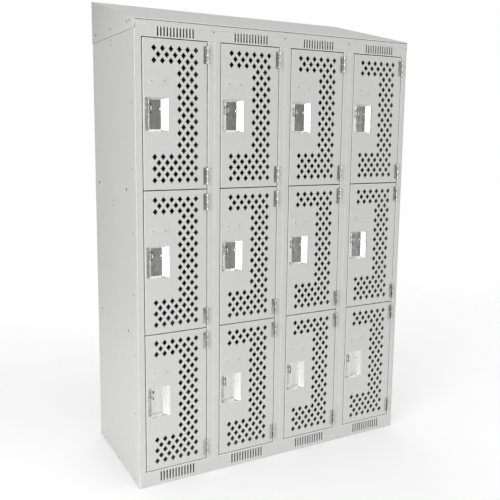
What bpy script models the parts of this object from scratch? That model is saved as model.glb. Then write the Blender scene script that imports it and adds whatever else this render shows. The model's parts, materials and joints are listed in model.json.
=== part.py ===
"""A bank of steel lockers: four columns of three hinged doors under a sloping hood.

Metres, +Z up. The front faces -Y, and the origin is on the floor under the middle of the bank.
"""

import math

import bpy
from mathutils import Vector

# Driving dimensions.
COLUMNS = 4
COLUMN_PITCH = 0.3048
DEPTH = 0.5334
TIER_PITCH = 0.5364
TIER_NAMES = ("top", "middle", "bottom")
DOOR_ZONE_BASE = 0.0614
SIDE_TOP = 1.6985
HOOD_BASE = 1.6995
HOOD_FRONT_TOP = 1.733
HOOD_BACK_TOP = 1.867
FASCIA_BASE = 1.7115
# A cutter runs this far past the face that it cuts.
CUT_PAST = 0.01

SHEET = 0.0012
PANEL_SHEET = 0.0015
TOUCH_GAP = 0.0003
SWING_GAP = 0.003

# Door frame.
POST_WIDTH = 0.0254
POST_RETURN = 0.0197
POST_FOOT = 0.0558
POST_HEAD = 1.6718
STOP_WIDTH = 0.012
WING_DEPTH = 0.058
HEADER_BASE = 1.6721
HEADER_TOP = 1.711
SILL_TOP = 0.060
STRIP_RETURN = 0.0177
# Posts and louvred strips stop a hair short of the column boundary.
STRIP_GAP = 0.0002

# Louvre slots in the header and sill strips.
LOUVRES = 12
LOUVRE_PITCH = 0.01228
LOUVRE_WIDTH = 0.0050
HEADER_LOUVRE = (1.6765, 1.7085)
SILL_LOUVRE = (0.0145, 0.0530)

# Doors.
DOOR_DEPTH = 0.016
CUP_LEFT = 0.036
CUP_WIDTH = 0.089
CUP_HEIGHT = 0.120
CUP_BASE = 0.210
CUP_CORNER = 0.004
CUP_FLOOR_CORNER = 0.0032
CUP_DEPTH = 0.020
CUP_SHEET = 0.0009
CUP_WALL = 0.00135
CUP_LIP = 0.0038
CUP_SIDE_SLOPE = 0.0215
CUP_END_SLOPE = 0.005
SLOT_WIDTH = 0.009
SLOT_CORNER = 0.0027
SLOT_HEIGHT = 0.036
SLOT_OFFSET = 0.0265
SLOT_RISE = 0.022

# Hinges: five knuckles each, the first, third and fifth on the post.
HINGE_HEIGHT = 0.0635
HINGE_FROM_DOOR_END = 0.047
KNUCKLES = 5
KNUCKLE_RADIUS = 0.0040
KNUCKLE_SIDES = 8
KNUCKLE_GAP = 0.0003
# How far from the pin, across the leaf, a knuckle's foot starts and ends.
KNUCKLE_FOOT = (0.0008, 0.0036)
LEAF_THICKNESS = 0.0012
LEAF_REACH = 0.017
LEAF_CLEAR = 0.0006
AXIS_PROUD = KNUCKLE_RADIUS + LEAF_THICKNESS + TOUCH_GAP

# Padlock staples on the latch-side posts.
STAPLE_THICKNESS = 0.004
STAPLE_RADIUS = 0.0125
STAPLE_HOLE = 0.0055
STAPLE_SIDES = 12
STAPLE_PLATE_HEIGHT = 0.046
STAPLE_PLATE_DEPTH = 0.0022
STAPLE_CLEAR = 0.0012
STAPLE_STAND = 0.0105
STAPLE_SQUASH = 0.7
STAPLE_SINK = 0.001

# Shelves, pans and partitions.
INNER_FRONT = 0.0235
FOLD_FRONT = 0.0207
SHELF_LIP = 0.022
FLANGE = 0.014
BACK_GAP = 0.0045
TOP_PAN_BASE = 1.6955

WIDTH = COLUMNS * COLUMN_PITCH
LEFT = -WIDTH / 2
# The hinge barrels stand proud of the doors and count in the whole depth, which is centred.
BARREL_PROUD = AXIS_PROUD + KNUCKLE_RADIUS * math.cos(math.pi / KNUCKLE_SIDES)
FRONT = (BARREL_PROUD - DEPTH) / 2
BACK = FRONT + DEPTH


def material(name, colour, roughness, metallic):
    made = bpy.data.materials.new(name)
    made.use_nodes = True
    shader = made.node_tree.nodes["Principled BSDF"]
    shader.inputs["Base Color"].default_value = (*colour, 1.0)
    shader.inputs["Roughness"].default_value = roughness
    shader.inputs["Metallic"].default_value = metallic
    return made


def new_object(name, vertices, faces, finish):
    mesh = bpy.data.meshes.new(name)
    mesh.from_pydata([tuple(v) for v in vertices], [], faces)
    mesh.validate()
    mesh.update()
    made = bpy.data.objects.new(name, mesh)
    bpy.context.collection.objects.link(made)
    if finish is not None:
        made.data.materials.append(finish)
    return made


def as_helper(made):
    made.hide_render = True
    made.display_type = "WIRE"
    return made


def box_parts(low, high):
    """Vertices and outward faces of a box."""
    vertices = [(x, y, z) for z in (low[2], high[2]) for y in (low[1], high[1]) for x in (low[0], high[0])]
    faces = [(0, 2, 3, 1), (4, 5, 7, 6), (0, 1, 5, 4), (2, 6, 7, 3), (0, 4, 6, 2), (1, 3, 7, 5)]
    return vertices, faces


def prism_parts(outline, axis, start, stop):
    """An outline drawn across an axis and run along it. The outline's two numbers follow X, Y, Z order."""
    others = [i for i in range(3) if i != axis]
    area = sum(a[0] * b[1] - b[0] * a[1] for a, b in zip(outline, outline[1:] + outline[:1]))
    # Across Y the pair (X, Z) turns the other way round.
    if (area < 0) != (axis == 1):
        outline = outline[::-1]
    count = len(outline)
    vertices = []
    for place in (start, stop):
        for pair in outline:
            point = [0.0, 0.0, 0.0]
            point[axis] = place
            point[others[0]], point[others[1]] = pair
            vertices.append(tuple(point))
    faces = [tuple(range(count))[::-1], tuple(range(count, 2 * count))]
    for i in range(count):
        j = (i + 1) % count
        faces.append((i, j, count + j, count + i))
    return vertices, faces


def joined(parts):
    """Several closed shapes as one list of vertices and faces."""
    vertices, faces = [], []
    for part_vertices, part_faces in parts:
        base = len(vertices)
        vertices += part_vertices
        faces += [tuple(base + i for i in face) for face in part_faces]
    return vertices, faces


def boolean(target, name, operation, parts):
    """Adds a Boolean whose helper is made of the given closed shapes, which don't touch each other."""
    helper = as_helper(new_object(f"{target.name}.{name}", *joined(parts), None))
    modifier = target.modifiers.new(name, "BOOLEAN")
    modifier.operation = operation
    modifier.solver = "EXACT"
    modifier.object = helper


def ring_of(centre_x, centre_z, half_width, half_height, corner, y):
    """A rounded rectangle facing the front, three points to a corner."""
    points = []
    for quarter in range(4):
        sign_x = 1 if quarter in (0, 3) else -1
        sign_z = 1 if quarter in (0, 1) else -1
        for step in range(3):
            angle = math.radians(90 * quarter + 45 * step)
            x = centre_x + sign_x * (half_width - corner) + corner * math.cos(angle)
            z = centre_z + sign_z * (half_height - corner) + corner * math.sin(angle)
            points.append((x, y, z))
    return points


def bridged(rings):
    """Rings of equal length joined one to the next and the last to the first, as a closed sheet with a hole."""
    count = len(rings[0])
    vertices = [point for ring in rings for point in ring]
    faces = []
    for ring in range(len(rings)):
        after = (ring + 1) % len(rings)
        for i in range(count):
            j = (i + 1) % count
            faces.append((ring * count + i, ring * count + j, after * count + j, after * count + i))
    return vertices, faces


def column_left(column):
    return LEFT + column * COLUMN_PITCH


def door_base(tier):
    """The lower end of a door; tier 0 is the top one."""
    return DOOR_ZONE_BASE + (2 - tier) * TIER_PITCH + SWING_GAP / 2


def hinge_centres(tier):
    low = door_base(tier) + HINGE_FROM_DOOR_END
    high = door_base(tier) + TIER_PITCH - SWING_GAP - HINGE_FROM_DOOR_END
    return low, high


def hinge_axis(column):
    """(x, y) of the hinge pins of a column, in the middle of the gap between door and post."""
    return column_left(column) + COLUMN_PITCH - POST_WIDTH - SWING_GAP / 2, FRONT - AXIS_PROUD


def knuckle_outline(axis_x, axis_y, side):
    """A knuckle seen from above: a circle with a foot that runs down into its leaf."""
    foot = AXIS_PROUD - LEAF_THICKNESS / 2
    # The corner that faces both the leaf and the door frame gives way to the foot.
    around = []
    for i in range(KNUCKLE_SIDES):
        angle = 2 * math.pi * (i + 0.5) / KNUCKLE_SIDES
        if i == KNUCKLE_SIDES * 3 // 4:
            around += [(KNUCKLE_FOOT[0], -foot), (KNUCKLE_FOOT[1], -foot)]
        else:
            around.append((KNUCKLE_RADIUS * math.cos(angle), KNUCKLE_RADIUS * math.sin(angle)))
    return [(axis_x + side * across, axis_y - out) for across, out in around]


def add_hinges(target, column, centres, on_door):
    """Fuses the leaves and knuckles of one side of the hinges onto a door or a post."""
    axis_x, axis_y = hinge_axis(column)
    side = -1 if on_door else 1
    outline = knuckle_outline(axis_x, axis_y, side)
    near, far = sorted((axis_x + side * LEAF_CLEAR, axis_x + side * LEAF_REACH))
    pitch = HINGE_HEIGHT / KNUCKLES
    leaves, knuckles = [], []
    for centre in centres:
        base = centre - HINGE_HEIGHT / 2
        low = (near, FRONT - LEAF_THICKNESS, base)
        leaves.append(box_parts(low, (far, FRONT + SHEET / 2, base + HINGE_HEIGHT)))
        for knuckle in range(1 if on_door else 0, KNUCKLES, 2):
            start = base + knuckle * pitch + KNUCKLE_GAP
            knuckles.append(prism_parts(outline, 2, start, start + pitch - 2 * KNUCKLE_GAP))
    boolean(target, "hinge_leaves", "UNION", leaves)
    boolean(target, "hinge_knuckles", "UNION", knuckles)


def make_door(column, tier, finish):
    left = column_left(column) + POST_WIDTH + SWING_GAP
    right = column_left(column) + COLUMN_PITCH - POST_WIDTH - SWING_GAP
    base = door_base(tier)
    top = base + TIER_PITCH - SWING_GAP
    door = new_object(
        f"door_{column + 1}_{TIER_NAMES[tier]}",
        *box_parts((left, FRONT, base), (right, FRONT + DOOR_DEPTH, top)),
        finish,
    )
    hollow = box_parts(
        (left + SHEET, FRONT + SHEET, base + SHEET), (right - SHEET, FRONT + DOOR_DEPTH + CUT_PAST, top - SHEET)
    )
    boolean(door, "hollow", "DIFFERENCE", [hollow])
    opening = ring_of(*cup_centre(column, tier), CUP_WIDTH / 2, CUP_HEIGHT / 2, CUP_CORNER, 0.0)
    outline = [(x, z) for x, _, z in opening]
    boolean(door, "cup_opening", "DIFFERENCE", [prism_parts(outline, 1, FRONT - CUT_PAST, FRONT + CUT_PAST)])
    add_hinges(door, column, hinge_centres(tier), on_door=True)
    place_origin(door, Vector((*hinge_axis(column), base)))
    return door


def place_origin(made, origin):
    """Puts an object's origin on its joint's axis and leaves its shape where it is."""
    for vertex in made.data.vertices:
        vertex.co -= origin
    made.location = origin


def cup_centre(column, tier):
    return column_left(column) + CUP_LEFT + CUP_WIDTH / 2, door_base(tier) + CUP_BASE + CUP_HEIGHT / 2


def staple_place(column, tier):
    """(x, z) of the slot in the cup's floor and of the staple that stands in it."""
    x, z = cup_centre(column, tier)
    return x - CUP_WIDTH / 2 + SLOT_OFFSET, z + SLOT_RISE


def make_cup(column, tier, door, finish):
    """A deep-drawn recess: lip behind the door's face, sloping walls, and a floor with the staple's slot."""
    x, z = cup_centre(column, tier)
    half_w, half_h = CUP_WIDTH / 2, CUP_HEIGHT / 2
    face = FRONT + SHEET + TOUCH_GAP
    floor = face + CUP_DEPTH
    floor_w, floor_h = half_w - CUP_SIDE_SLOPE, half_h - CUP_END_SLOPE
    slot_x, slot_z = staple_place(column, tier)
    slot = (slot_x, slot_z, SLOT_WIDTH / 2, SLOT_HEIGHT / 2, SLOT_CORNER)
    rings = [
        ring_of(x, z, half_w + CUP_LIP, half_h + CUP_LIP, CUP_CORNER + CUP_LIP, face),
        ring_of(x, z, half_w, half_h, CUP_CORNER, face),
        ring_of(x, z, floor_w, floor_h, CUP_FLOOR_CORNER, floor),
        ring_of(*slot, floor),
        ring_of(*slot, floor + CUP_SHEET),
        ring_of(x, z, floor_w + CUP_WALL / 2, floor_h + CUP_WALL / 2, CUP_FLOOR_CORNER, floor + CUP_SHEET),
        ring_of(x, z, half_w + CUP_WALL, half_h + CUP_WALL, CUP_CORNER, face + CUP_SHEET),
        ring_of(x, z, half_w + CUP_LIP, half_h + CUP_LIP, CUP_CORNER + CUP_LIP, face + CUP_SHEET),
    ]
    cup = new_object(f"handle_cup_{column + 1}_{TIER_NAMES[tier]}", *bridged(rings), finish)
    cup.data.shade_smooth()
    cup.data.set_sharp_from_angle(angle=math.radians(30))
    cup.parent = door
    cup.matrix_parent_inverse.translation = -door.location


def make_post(name, column_edge, inward, at_end, finish):
    """A folded post with a stop for the door. inward is the way from the column's edge to its door."""
    edge = column_edge + (SHEET / 3 if at_end else STRIP_GAP) * inward
    inner = column_edge + inward * POST_WIDTH
    stop = inner + inward * STOP_WIDTH
    t = inward * SHEET
    back = FRONT + POST_RETURN
    outline = [
        (edge, FRONT),
        (inner, FRONT),
        (inner, back - SHEET),
        (stop, back - SHEET),
        (stop, back),
        (inner - t, back),
        (inner - t, FRONT + SHEET),
        (edge + t, FRONT + SHEET),
        (edge + t, back),
        (edge, back),
    ]
    if at_end:
        # The wing is a shape of its own, so the outline stops at the back of the face.
        outline = outline[:7] + [(edge, FRONT + SHEET)]
    post = new_object(name, *prism_parts(outline, 2, POST_FOOT, POST_HEAD), finish)
    if at_end:
        sides = sorted((column_edge, column_edge + t))
        wing = box_parts((sides[0], FRONT, 0.0), (sides[1], FRONT + WING_DEPTH, SIDE_TOP))
        boolean(post, "wing", "UNION", [wing])
    return post


def staple_parts(column, tier):
    """One padlock staple: its plate behind the cup, the block to the post's stop, the loop and the loop's hole."""
    x, z = staple_place(column, tier)
    stop_edge = column_left(column) + POST_WIDTH
    behind = FRONT + SHEET + TOUCH_GAP + CUP_DEPTH + CUP_SHEET + STAPLE_CLEAR
    half, tall = STAPLE_THICKNESS / 2, STAPLE_PLATE_HEIGHT / 2
    sink = STAPLE_SINK
    plate = box_parts(
        (stop_edge + sink, behind, z - tall), (x + half + sink, behind + STAPLE_PLATE_DEPTH, z + tall)
    )
    block = box_parts(
        (stop_edge + 2 * sink, FRONT + POST_RETURN - sink / 2, z - tall + 3 * sink),
        (stop_edge + STOP_WIDTH - sink, behind + sink, z + tall - 3 * sink),
    )
    centre = behind - STAPLE_STAND
    arc = [(behind + sink, z + STAPLE_RADIUS), (behind + sink, z - STAPLE_RADIUS)]
    for step in range(STAPLE_SIDES // 2 + 1):
        angle = math.pi * (1.5 - 2 * step / STAPLE_SIDES)
        depth = centre + STAPLE_SQUASH * STAPLE_RADIUS * math.cos(angle)
        arc.append((depth, z + STAPLE_RADIUS * math.sin(angle)))
    loop = prism_parts(arc, 0, x - half, x + half)
    ring = []
    for step in range(STAPLE_SIDES):
        angle = 2 * math.pi * step / STAPLE_SIDES
        ring.append((centre + STAPLE_HOLE * math.cos(angle), z + STAPLE_HOLE * math.sin(angle)))
    return plate, block, loop, prism_parts(ring, 0, x - 2 * STAPLE_THICKNESS, x + 2 * STAPLE_THICKNESS)


def make_latch_post(column, finish):
    """The post on the left of a column, with the three padlock staples."""
    post = make_post(f"latch_post_{column + 1}", column_left(column), 1, column == 0, finish)
    plates, blocks, loops, holes = zip(*(staple_parts(column, tier) for tier in range(3)))
    boolean(post, "staple_blocks", "UNION", blocks)
    boolean(post, "staple_plates", "UNION", plates)
    boolean(post, "staple_loops", "UNION", loops)
    boolean(post, "staple_holes", "DIFFERENCE", holes)


def make_hinge_post(column, finish):
    """The post on the right of a column, with the frame side of its six hinges."""
    name = f"hinge_post_{column + 1}"
    post = make_post(name, column_left(column + 1), -1, column == COLUMNS - 1, finish)
    centres = [centre for tier in range(3) for centre in hinge_centres(tier)]
    add_hinges(post, column, centres, on_door=False)


def louvre_slots(column, span):
    """Cutters for the row of upright slots in one strip."""
    middle = column_left(column) + COLUMN_PITCH / 2
    slots = []
    for i in range(LOUVRES):
        x = middle + (i - (LOUVRES - 1) / 2) * LOUVRE_PITCH
        low = (x - LOUVRE_WIDTH / 2, FRONT - CUT_PAST, span[0])
        slots.append(box_parts(low, (x + LOUVRE_WIDTH / 2, FRONT + CUT_PAST, span[1])))
    return slots


def strip_ends(column):
    """The left and right ends of a header or sill; the outer ones clear the end posts' wings."""
    wing = SHEET + TOUCH_GAP
    left = column_left(column) + (wing if column == 0 else STRIP_GAP)
    right = column_left(column + 1) - (wing if column == COLUMNS - 1 else STRIP_GAP)
    return left, right


def make_strip(name, column, low, high, louvres, finish):
    """A channel across the column, open to the back, with a row of louvre slots in its face."""
    back = FRONT + STRIP_RETURN
    outline = [
        (FRONT, low),
        (back, low),
        (back, low + SHEET),
        (FRONT + SHEET, low + SHEET),
        (FRONT + SHEET, high - SHEET),
        (back, high - SHEET),
        (back, high),
        (FRONT, high),
    ]
    strip = new_object(f"{name}_{column + 1}", *prism_parts(outline, 0, *strip_ends(column)), finish)
    boolean(strip, "louvres", "DIFFERENCE", louvre_slots(column, louvres))
    return strip


def make_sill(column, finish):
    """The strip at the floor, notched at both ends where the posts stand."""
    sill = make_strip("sill", column, 0.0, SILL_TOP, SILL_LOUVRE, finish)
    left, right = column_left(column), column_left(column + 1)
    notches = []
    for outer, inner in ((left - CUT_PAST, left + POST_WIDTH), (right + CUT_PAST, right - POST_WIDTH)):
        clear = TOUCH_GAP if inner < (left + right) / 2 else -TOUCH_GAP
        sides = sorted((outer, inner + clear))
        low = (sides[0], FRONT - CUT_PAST, POST_FOOT - TOUCH_GAP)
        notches.append(box_parts(low, (sides[1], FRONT + 2 * STRIP_RETURN, SILL_TOP + CUT_PAST)))
    boolean(sill, "post_notches", "DIFFERENCE", notches)


def make_side(name, edge, inward, finish):
    """A side panel folded round the front and the back; the end post's wing laps over its front edge."""
    outer = edge + inward * (SHEET + TOUCH_GAP)
    inner = outer + inward * SHEET
    flange = outer + inward * FLANGE
    front = FRONT + FOLD_FRONT
    outline = [
        (outer, front),
        (flange, front),
        (flange, front + SHEET),
        (inner, front + SHEET),
        (inner, BACK - SHEET),
        (flange, BACK - SHEET),
        (flange, BACK),
        (outer, BACK),
    ]
    return new_object(name, *prism_parts(outline, 2, 0.0, SIDE_TOP), finish)


def make_partition(boundary, finish):
    """A divider between two columns, folded at the front and the back."""
    x = column_left(boundary)
    half = PANEL_SHEET / 2
    front = FRONT + FOLD_FRONT
    back = BACK - BACK_GAP
    outline = [
        (x - half, front),
        (x + FLANGE, front),
        (x + FLANGE, front + SHEET),
        (x + half, front + SHEET),
        (x + half, back - SHEET),
        (x + FLANGE, back - SHEET),
        (x + FLANGE, back),
        (x - half, back),
    ]
    name = f"partition_{boundary}"
    return new_object(name, *prism_parts(outline, 2, SILL_TOP + TOUCH_GAP, TOP_PAN_BASE - TOUCH_GAP), finish)


def pan_outline(top, lip, upward):
    """A folded pan seen from the side, with a lip along its front and its back edge."""
    front, back = FRONT + INNER_FRONT, BACK - BACK_GAP - SHEET - TOUCH_GAP * 2
    t = SHEET if upward else -SHEET
    end = top + (lip if upward else -lip)
    return [
        (front, top),
        (back, top),
        (back, end),
        (back - SHEET, end),
        (back - SHEET, top + t),
        (front + SHEET, top + t),
        (front + SHEET, end),
        (front, end),
    ]


def make_shelf(column, level, finish):
    wall = PANEL_SHEET / 2 + TOUCH_GAP
    side_wall = 2 * SHEET + 2 * TOUCH_GAP
    left = column_left(column) + (side_wall if column == 0 else wall)
    right = column_left(column + 1) - (side_wall if column == COLUMNS - 1 else wall)
    top = DOOR_ZONE_BASE + level * TIER_PITCH
    name = f"shelf_{column + 1}_{'lower' if level == 1 else 'upper'}"
    return new_object(name, *prism_parts(pan_outline(top, SHELF_LIP, False), 0, left, right), finish)


def make_pan(name, level, lip, upward, finish):
    """The bottom or the top pan, which runs under or over all the columns."""
    wall = 2 * SHEET + 2 * TOUCH_GAP
    outline = pan_outline(level, lip, upward)
    return new_object(name, *prism_parts(outline, 0, LEFT + wall, LEFT + WIDTH - wall), finish)


def make_back(finish):
    wall = 2 * SHEET + 2 * TOUCH_GAP
    back = BACK - SHEET - TOUCH_GAP
    low = (LEFT + wall, back - SHEET, 0.0)
    return new_object("back_panel", *box_parts(low, (LEFT + WIDTH - wall, back, SIDE_TOP)), finish)


def make_hood(finish):
    """The sloping cover, folded from one sheet, and the plate that closes each end."""
    rise = (HOOD_BACK_TOP - HOOD_FRONT_TOP) / DEPTH
    drop = SHEET * math.hypot(1, rise)
    outline = [
        (FRONT, FASCIA_BASE),
        (FRONT, HOOD_FRONT_TOP),
        (BACK, HOOD_BACK_TOP),
        (BACK, HOOD_BASE),
        (BACK - SHEET, HOOD_BASE),
        (BACK - SHEET, HOOD_BACK_TOP - SHEET * rise - drop),
        (FRONT + SHEET, HOOD_FRONT_TOP + SHEET * rise - drop),
        (FRONT + SHEET, FASCIA_BASE),
    ]
    inset = SHEET + TOUCH_GAP
    prism = prism_parts(outline, 0, LEFT + inset, LEFT + WIDTH - inset)
    new_object("hood_cover", *prism, finish)
    end = [(FRONT, HOOD_BASE), (BACK, HOOD_BASE), (BACK, HOOD_BACK_TOP), (FRONT, HOOD_FRONT_TOP)]
    for name, edge, inward in (("hood_end_left", LEFT, 1), ("hood_end_right", LEFT + WIDTH, -1)):
        new_object(name, *prism_parts(end, 0, *sorted((edge, edge + inward * SHEET))), finish)


def clear_scene():
    for old in list(bpy.data.objects):
        bpy.data.objects.remove(old)


def build():
    clear_scene()
    door_paint = material("door_paint", (0.62, 0.63, 0.64), 0.42, 0.0)
    frame_paint = material("frame_paint", (0.60, 0.61, 0.62), 0.42, 0.0)
    panel_paint = material("panel_paint", (0.64, 0.65, 0.66), 0.45, 0.0)
    cup_steel = material("cup_steel", (0.72, 0.72, 0.71), 0.22, 1.0)
    for column in range(COLUMNS):
        for tier in range(3):
            door = make_door(column, tier, door_paint)
            make_cup(column, tier, door, cup_steel)
        make_latch_post(column, frame_paint)
        make_hinge_post(column, frame_paint)
        make_strip("header", column, HEADER_BASE, HEADER_TOP, HEADER_LOUVRE, frame_paint)
        make_sill(column, frame_paint)
        make_shelf(column, 1, panel_paint)
        make_shelf(column, 2, panel_paint)
    for boundary in range(1, COLUMNS):
        make_partition(boundary, panel_paint)
    make_side("side_panel_left", LEFT, 1, panel_paint)
    make_side("side_panel_right", LEFT + WIDTH, -1, panel_paint)
    make_back(panel_paint)
    make_pan("bottom_pan", SILL_TOP, SHELF_LIP, False, panel_paint)
    make_pan("top_pan", TOP_PAN_BASE, FLANGE, True, panel_paint)
    make_hood(frame_paint)


build()
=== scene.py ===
"""A bank of twelve sheet-steel lockers under a sloping hood, dressed for show.

Metres, +Z up, the front towards -Y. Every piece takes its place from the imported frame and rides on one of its
bodies: the cabinet, or one of the twelve doors.
"""

import json
import logging
import math
from dataclasses import dataclass
from enum import Enum

import bmesh
import bpy
from mathutils import Euler, Matrix, Vector

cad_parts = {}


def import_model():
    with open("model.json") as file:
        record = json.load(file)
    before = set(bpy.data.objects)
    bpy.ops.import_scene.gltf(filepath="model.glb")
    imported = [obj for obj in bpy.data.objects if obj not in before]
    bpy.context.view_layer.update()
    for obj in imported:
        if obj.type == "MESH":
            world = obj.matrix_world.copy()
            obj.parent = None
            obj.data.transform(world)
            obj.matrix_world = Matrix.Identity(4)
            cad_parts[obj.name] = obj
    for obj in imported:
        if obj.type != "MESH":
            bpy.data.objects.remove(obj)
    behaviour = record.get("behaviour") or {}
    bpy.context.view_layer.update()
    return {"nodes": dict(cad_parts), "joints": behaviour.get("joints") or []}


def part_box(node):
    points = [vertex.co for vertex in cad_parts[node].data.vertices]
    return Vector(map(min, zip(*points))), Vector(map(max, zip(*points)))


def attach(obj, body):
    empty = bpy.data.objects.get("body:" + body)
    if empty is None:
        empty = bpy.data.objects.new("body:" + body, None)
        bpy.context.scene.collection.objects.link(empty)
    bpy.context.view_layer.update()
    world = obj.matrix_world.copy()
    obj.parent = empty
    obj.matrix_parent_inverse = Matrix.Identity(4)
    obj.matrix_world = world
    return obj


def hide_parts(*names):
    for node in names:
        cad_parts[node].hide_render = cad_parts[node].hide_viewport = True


LOG = logging.getLogger("lockers")

Point = tuple[float, float]
Face = tuple[int, ...]

MM = 0.001


class Tier(Enum):
    """The three rows of doors."""

    TOP = "top"
    MIDDLE = "middle"
    BOTTOM = "bottom"


class Hand(Enum):
    """Which way a piece looks along X."""

    LEFT = -1
    RIGHT = 1


class Slot(Enum):
    """The record's finish slots."""

    DOOR = "door_paint"
    FRAME = "frame_paint"
    PANEL = "panel_paint"
    STEEL = "cup_steel"


# ---------------------------------------------------------------- node trees


class Graph:
    """Adds nodes to one tree and wires them as they are added."""

    def __init__(self, tree: bpy.types.NodeTree) -> None:
        """Keeps the tree."""
        self.tree = tree

    def node(self, kind: str, inputs: dict | None = None, **settings: object) -> bpy.types.Node:
        """Adds a node.

        Args:
            kind: Blender's name for the node type.
            inputs: socket name or number, and a constant or another node's output.
            settings: the node's own properties.

        Returns:
            The new node.
        """
        made = self.tree.nodes.new(kind)
        for key, value in settings.items():
            setattr(made, key, value)
        for key, value in (inputs or {}).items():
            if isinstance(value, bpy.types.NodeSocket):
                self.tree.links.new(value, made.inputs[key])
            else:
                made.inputs[key].default_value = value
        return made

    def out(self, kind: str, inputs: dict | None = None, **settings: object) -> bpy.types.NodeSocket:
        """Adds a node and returns its first output."""
        return self.node(kind, inputs, **settings).outputs[0]

    def math(self, operation: str, a: object, b: object = 0.0) -> bpy.types.NodeSocket:
        """One step of arithmetic."""
        return self.out("ShaderNodeMath", {0: a, 1: b}, operation=operation)

    def remap(self, value: object, low: float, high: float, start: object, end: object) -> bpy.types.NodeSocket:
        """Carries low..high to start..end and holds it there."""
        sockets = {"Value": value, "From Min": low, "From Max": high, "To Min": start, "To Max": end}
        return self.out("ShaderNodeMapRange", sockets, clamp=True)

    def scaled(self, colour: object, factor: object) -> bpy.types.NodeSocket:
        """A colour made lighter or darker by a factor."""
        return self.out("ShaderNodeVectorMath", {0: colour, "Scale": factor}, operation="SCALE")

    def mixed(self, factor: object, a: object, b: object) -> bpy.types.NodeSocket:
        """Two colours mixed."""
        made = self.node("ShaderNodeMix", {0: factor, 6: a, 7: b}, data_type="RGBA")
        return made.outputs[2]


def named_tree(name: str, kind: str, inputs: dict[str, str], outputs: dict[str, str]) -> tuple[Graph, dict, bpy.types.Node]:
    """Starts a node group.

    Args:
        name: the group's name.
        kind: "ShaderNodeTree" or "GeometryNodeTree".
        inputs: each input's name and socket type.
        outputs: each output's name and socket type.

    Returns:
        The graph, the input sockets by name, and the output node.
    """
    tree = bpy.data.node_groups.new(name, kind)
    for label, socket in inputs.items():
        tree.interface.new_socket(label, in_out="INPUT", socket_type=socket)
    for label, socket in outputs.items():
        tree.interface.new_socket(label, in_out="OUTPUT", socket_type=socket)
    graph = Graph(tree)
    start = graph.node("NodeGroupInput")
    return graph, {label: start.outputs[label] for label in inputs}, graph.node("NodeGroupOutput")


COLOUR, VALUE = "NodeSocketColor", "NodeSocketFloat"


def powder_coat_group() -> bpy.types.NodeTree:
    """Sprayed and baked paint: cloudy tone, fine specks, orange peel, and dust on what faces up.

    Returns:
        The shader node group.
    """
    graph, given, end = named_tree(
        "Powder coat",
        "ShaderNodeTree",
        {"Colour": COLOUR, "Mottle": VALUE, "Roughness": VALUE, "Peel Scale": VALUE, "Dust": VALUE},
        {"Colour": COLOUR, "Roughness": VALUE, "Height": VALUE},
    )
    place = graph.node("ShaderNodeTexCoord").outputs["Object"]
    broad = graph.out("ShaderNodeTexNoise", {"Vector": place, "Scale": 2.6, "Detail": 3.0, "Roughness": 0.55})
    cloud = graph.out("ShaderNodeTexNoise", {"Vector": place, "Scale": 21.0, "Detail": 4.0, "Roughness": 0.6})
    speck = graph.out("ShaderNodeTexNoise", {"Vector": place, "Scale": 340.0, "Detail": 2.0})
    peel = graph.out("ShaderNodeTexNoise", {"Vector": place, "Scale": given["Peel Scale"], "Detail": 1.5})
    blend = graph.math("ADD", graph.math("MULTIPLY", broad, 0.5), graph.math("MULTIPLY", cloud, 0.3))
    tone = graph.math("ADD", blend, graph.math("MULTIPLY", speck, 0.2))
    low, high = graph.math("SUBTRACT", 1.0, given["Mottle"]), graph.math("ADD", 1.0, given["Mottle"])
    varied = graph.scaled(given["Colour"], graph.remap(tone, 0.36, 0.64, low, high))
    facing = graph.node("ShaderNodeSeparateXYZ", {0: graph.node("ShaderNodeNewGeometry").outputs["Normal"]})
    upward = graph.remap(facing.outputs[2], 0.25, 1.0, 0.0, given["Dust"])
    dusty = graph.math("MULTIPLY", upward, graph.remap(cloud, 0.35, 0.7, 0.3, 1.0))
    graph.tree.links.new(graph.mixed(dusty, varied, (0.74, 0.72, 0.69, 1.0)), end.inputs["Colour"])
    rough = graph.math("ADD", given["Roughness"], graph.remap(cloud, 0.3, 0.7, -0.035, 0.045))
    graph.tree.links.new(graph.math("ADD", rough, graph.math("MULTIPLY", dusty, 0.3)), end.inputs["Roughness"])
    height = graph.math("ADD", graph.math("MULTIPLY", peel, 0.8), graph.math("MULTIPLY", speck, 0.2))
    graph.tree.links.new(height, end.inputs["Height"])
    return graph.tree


def edge_wear_highlight_group() -> bpy.types.NodeTree:
    """Paint lightened along folds and cut edges: a painted highlight on the bends, together with real wear where the
    paint is thinned and polished.

    Returns:
        The shader node group.
    """
    graph, given, end = named_tree(
        "Edge rub",
        "ShaderNodeTree",
        {"Colour": COLOUR, "Roughness": VALUE, "Rubbed Colour": COLOUR, "Amount": VALUE},
        {"Colour": COLOUR, "Roughness": VALUE},
    )
    place = graph.node("ShaderNodeTexCoord").outputs["Object"]
    bent = graph.node("ShaderNodeAttribute", attribute_name="bend").outputs["Fac"]
    broken = graph.out("ShaderNodeTexNoise", {"Vector": place, "Scale": 38.0, "Detail": 4.0})
    # The bend mask lightens the paint on the fold radii: painted highlight, with a little real edge wear.
    mask = graph.math("MULTIPLY", graph.remap(bent, 0.3, 1.0, 0.0, 1.0), graph.remap(broken, 0.3, 0.6, 0.35, 1.0))
    amount = graph.math("MULTIPLY", mask, given["Amount"])
    graph.tree.links.new(graph.mixed(amount, given["Colour"], given["Rubbed Colour"]), end.inputs["Colour"])
    rough = graph.math("SUBTRACT", given["Roughness"], graph.math("MULTIPLY", amount, 0.16))
    graph.tree.links.new(rough, end.inputs["Roughness"])
    return graph.tree


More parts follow.
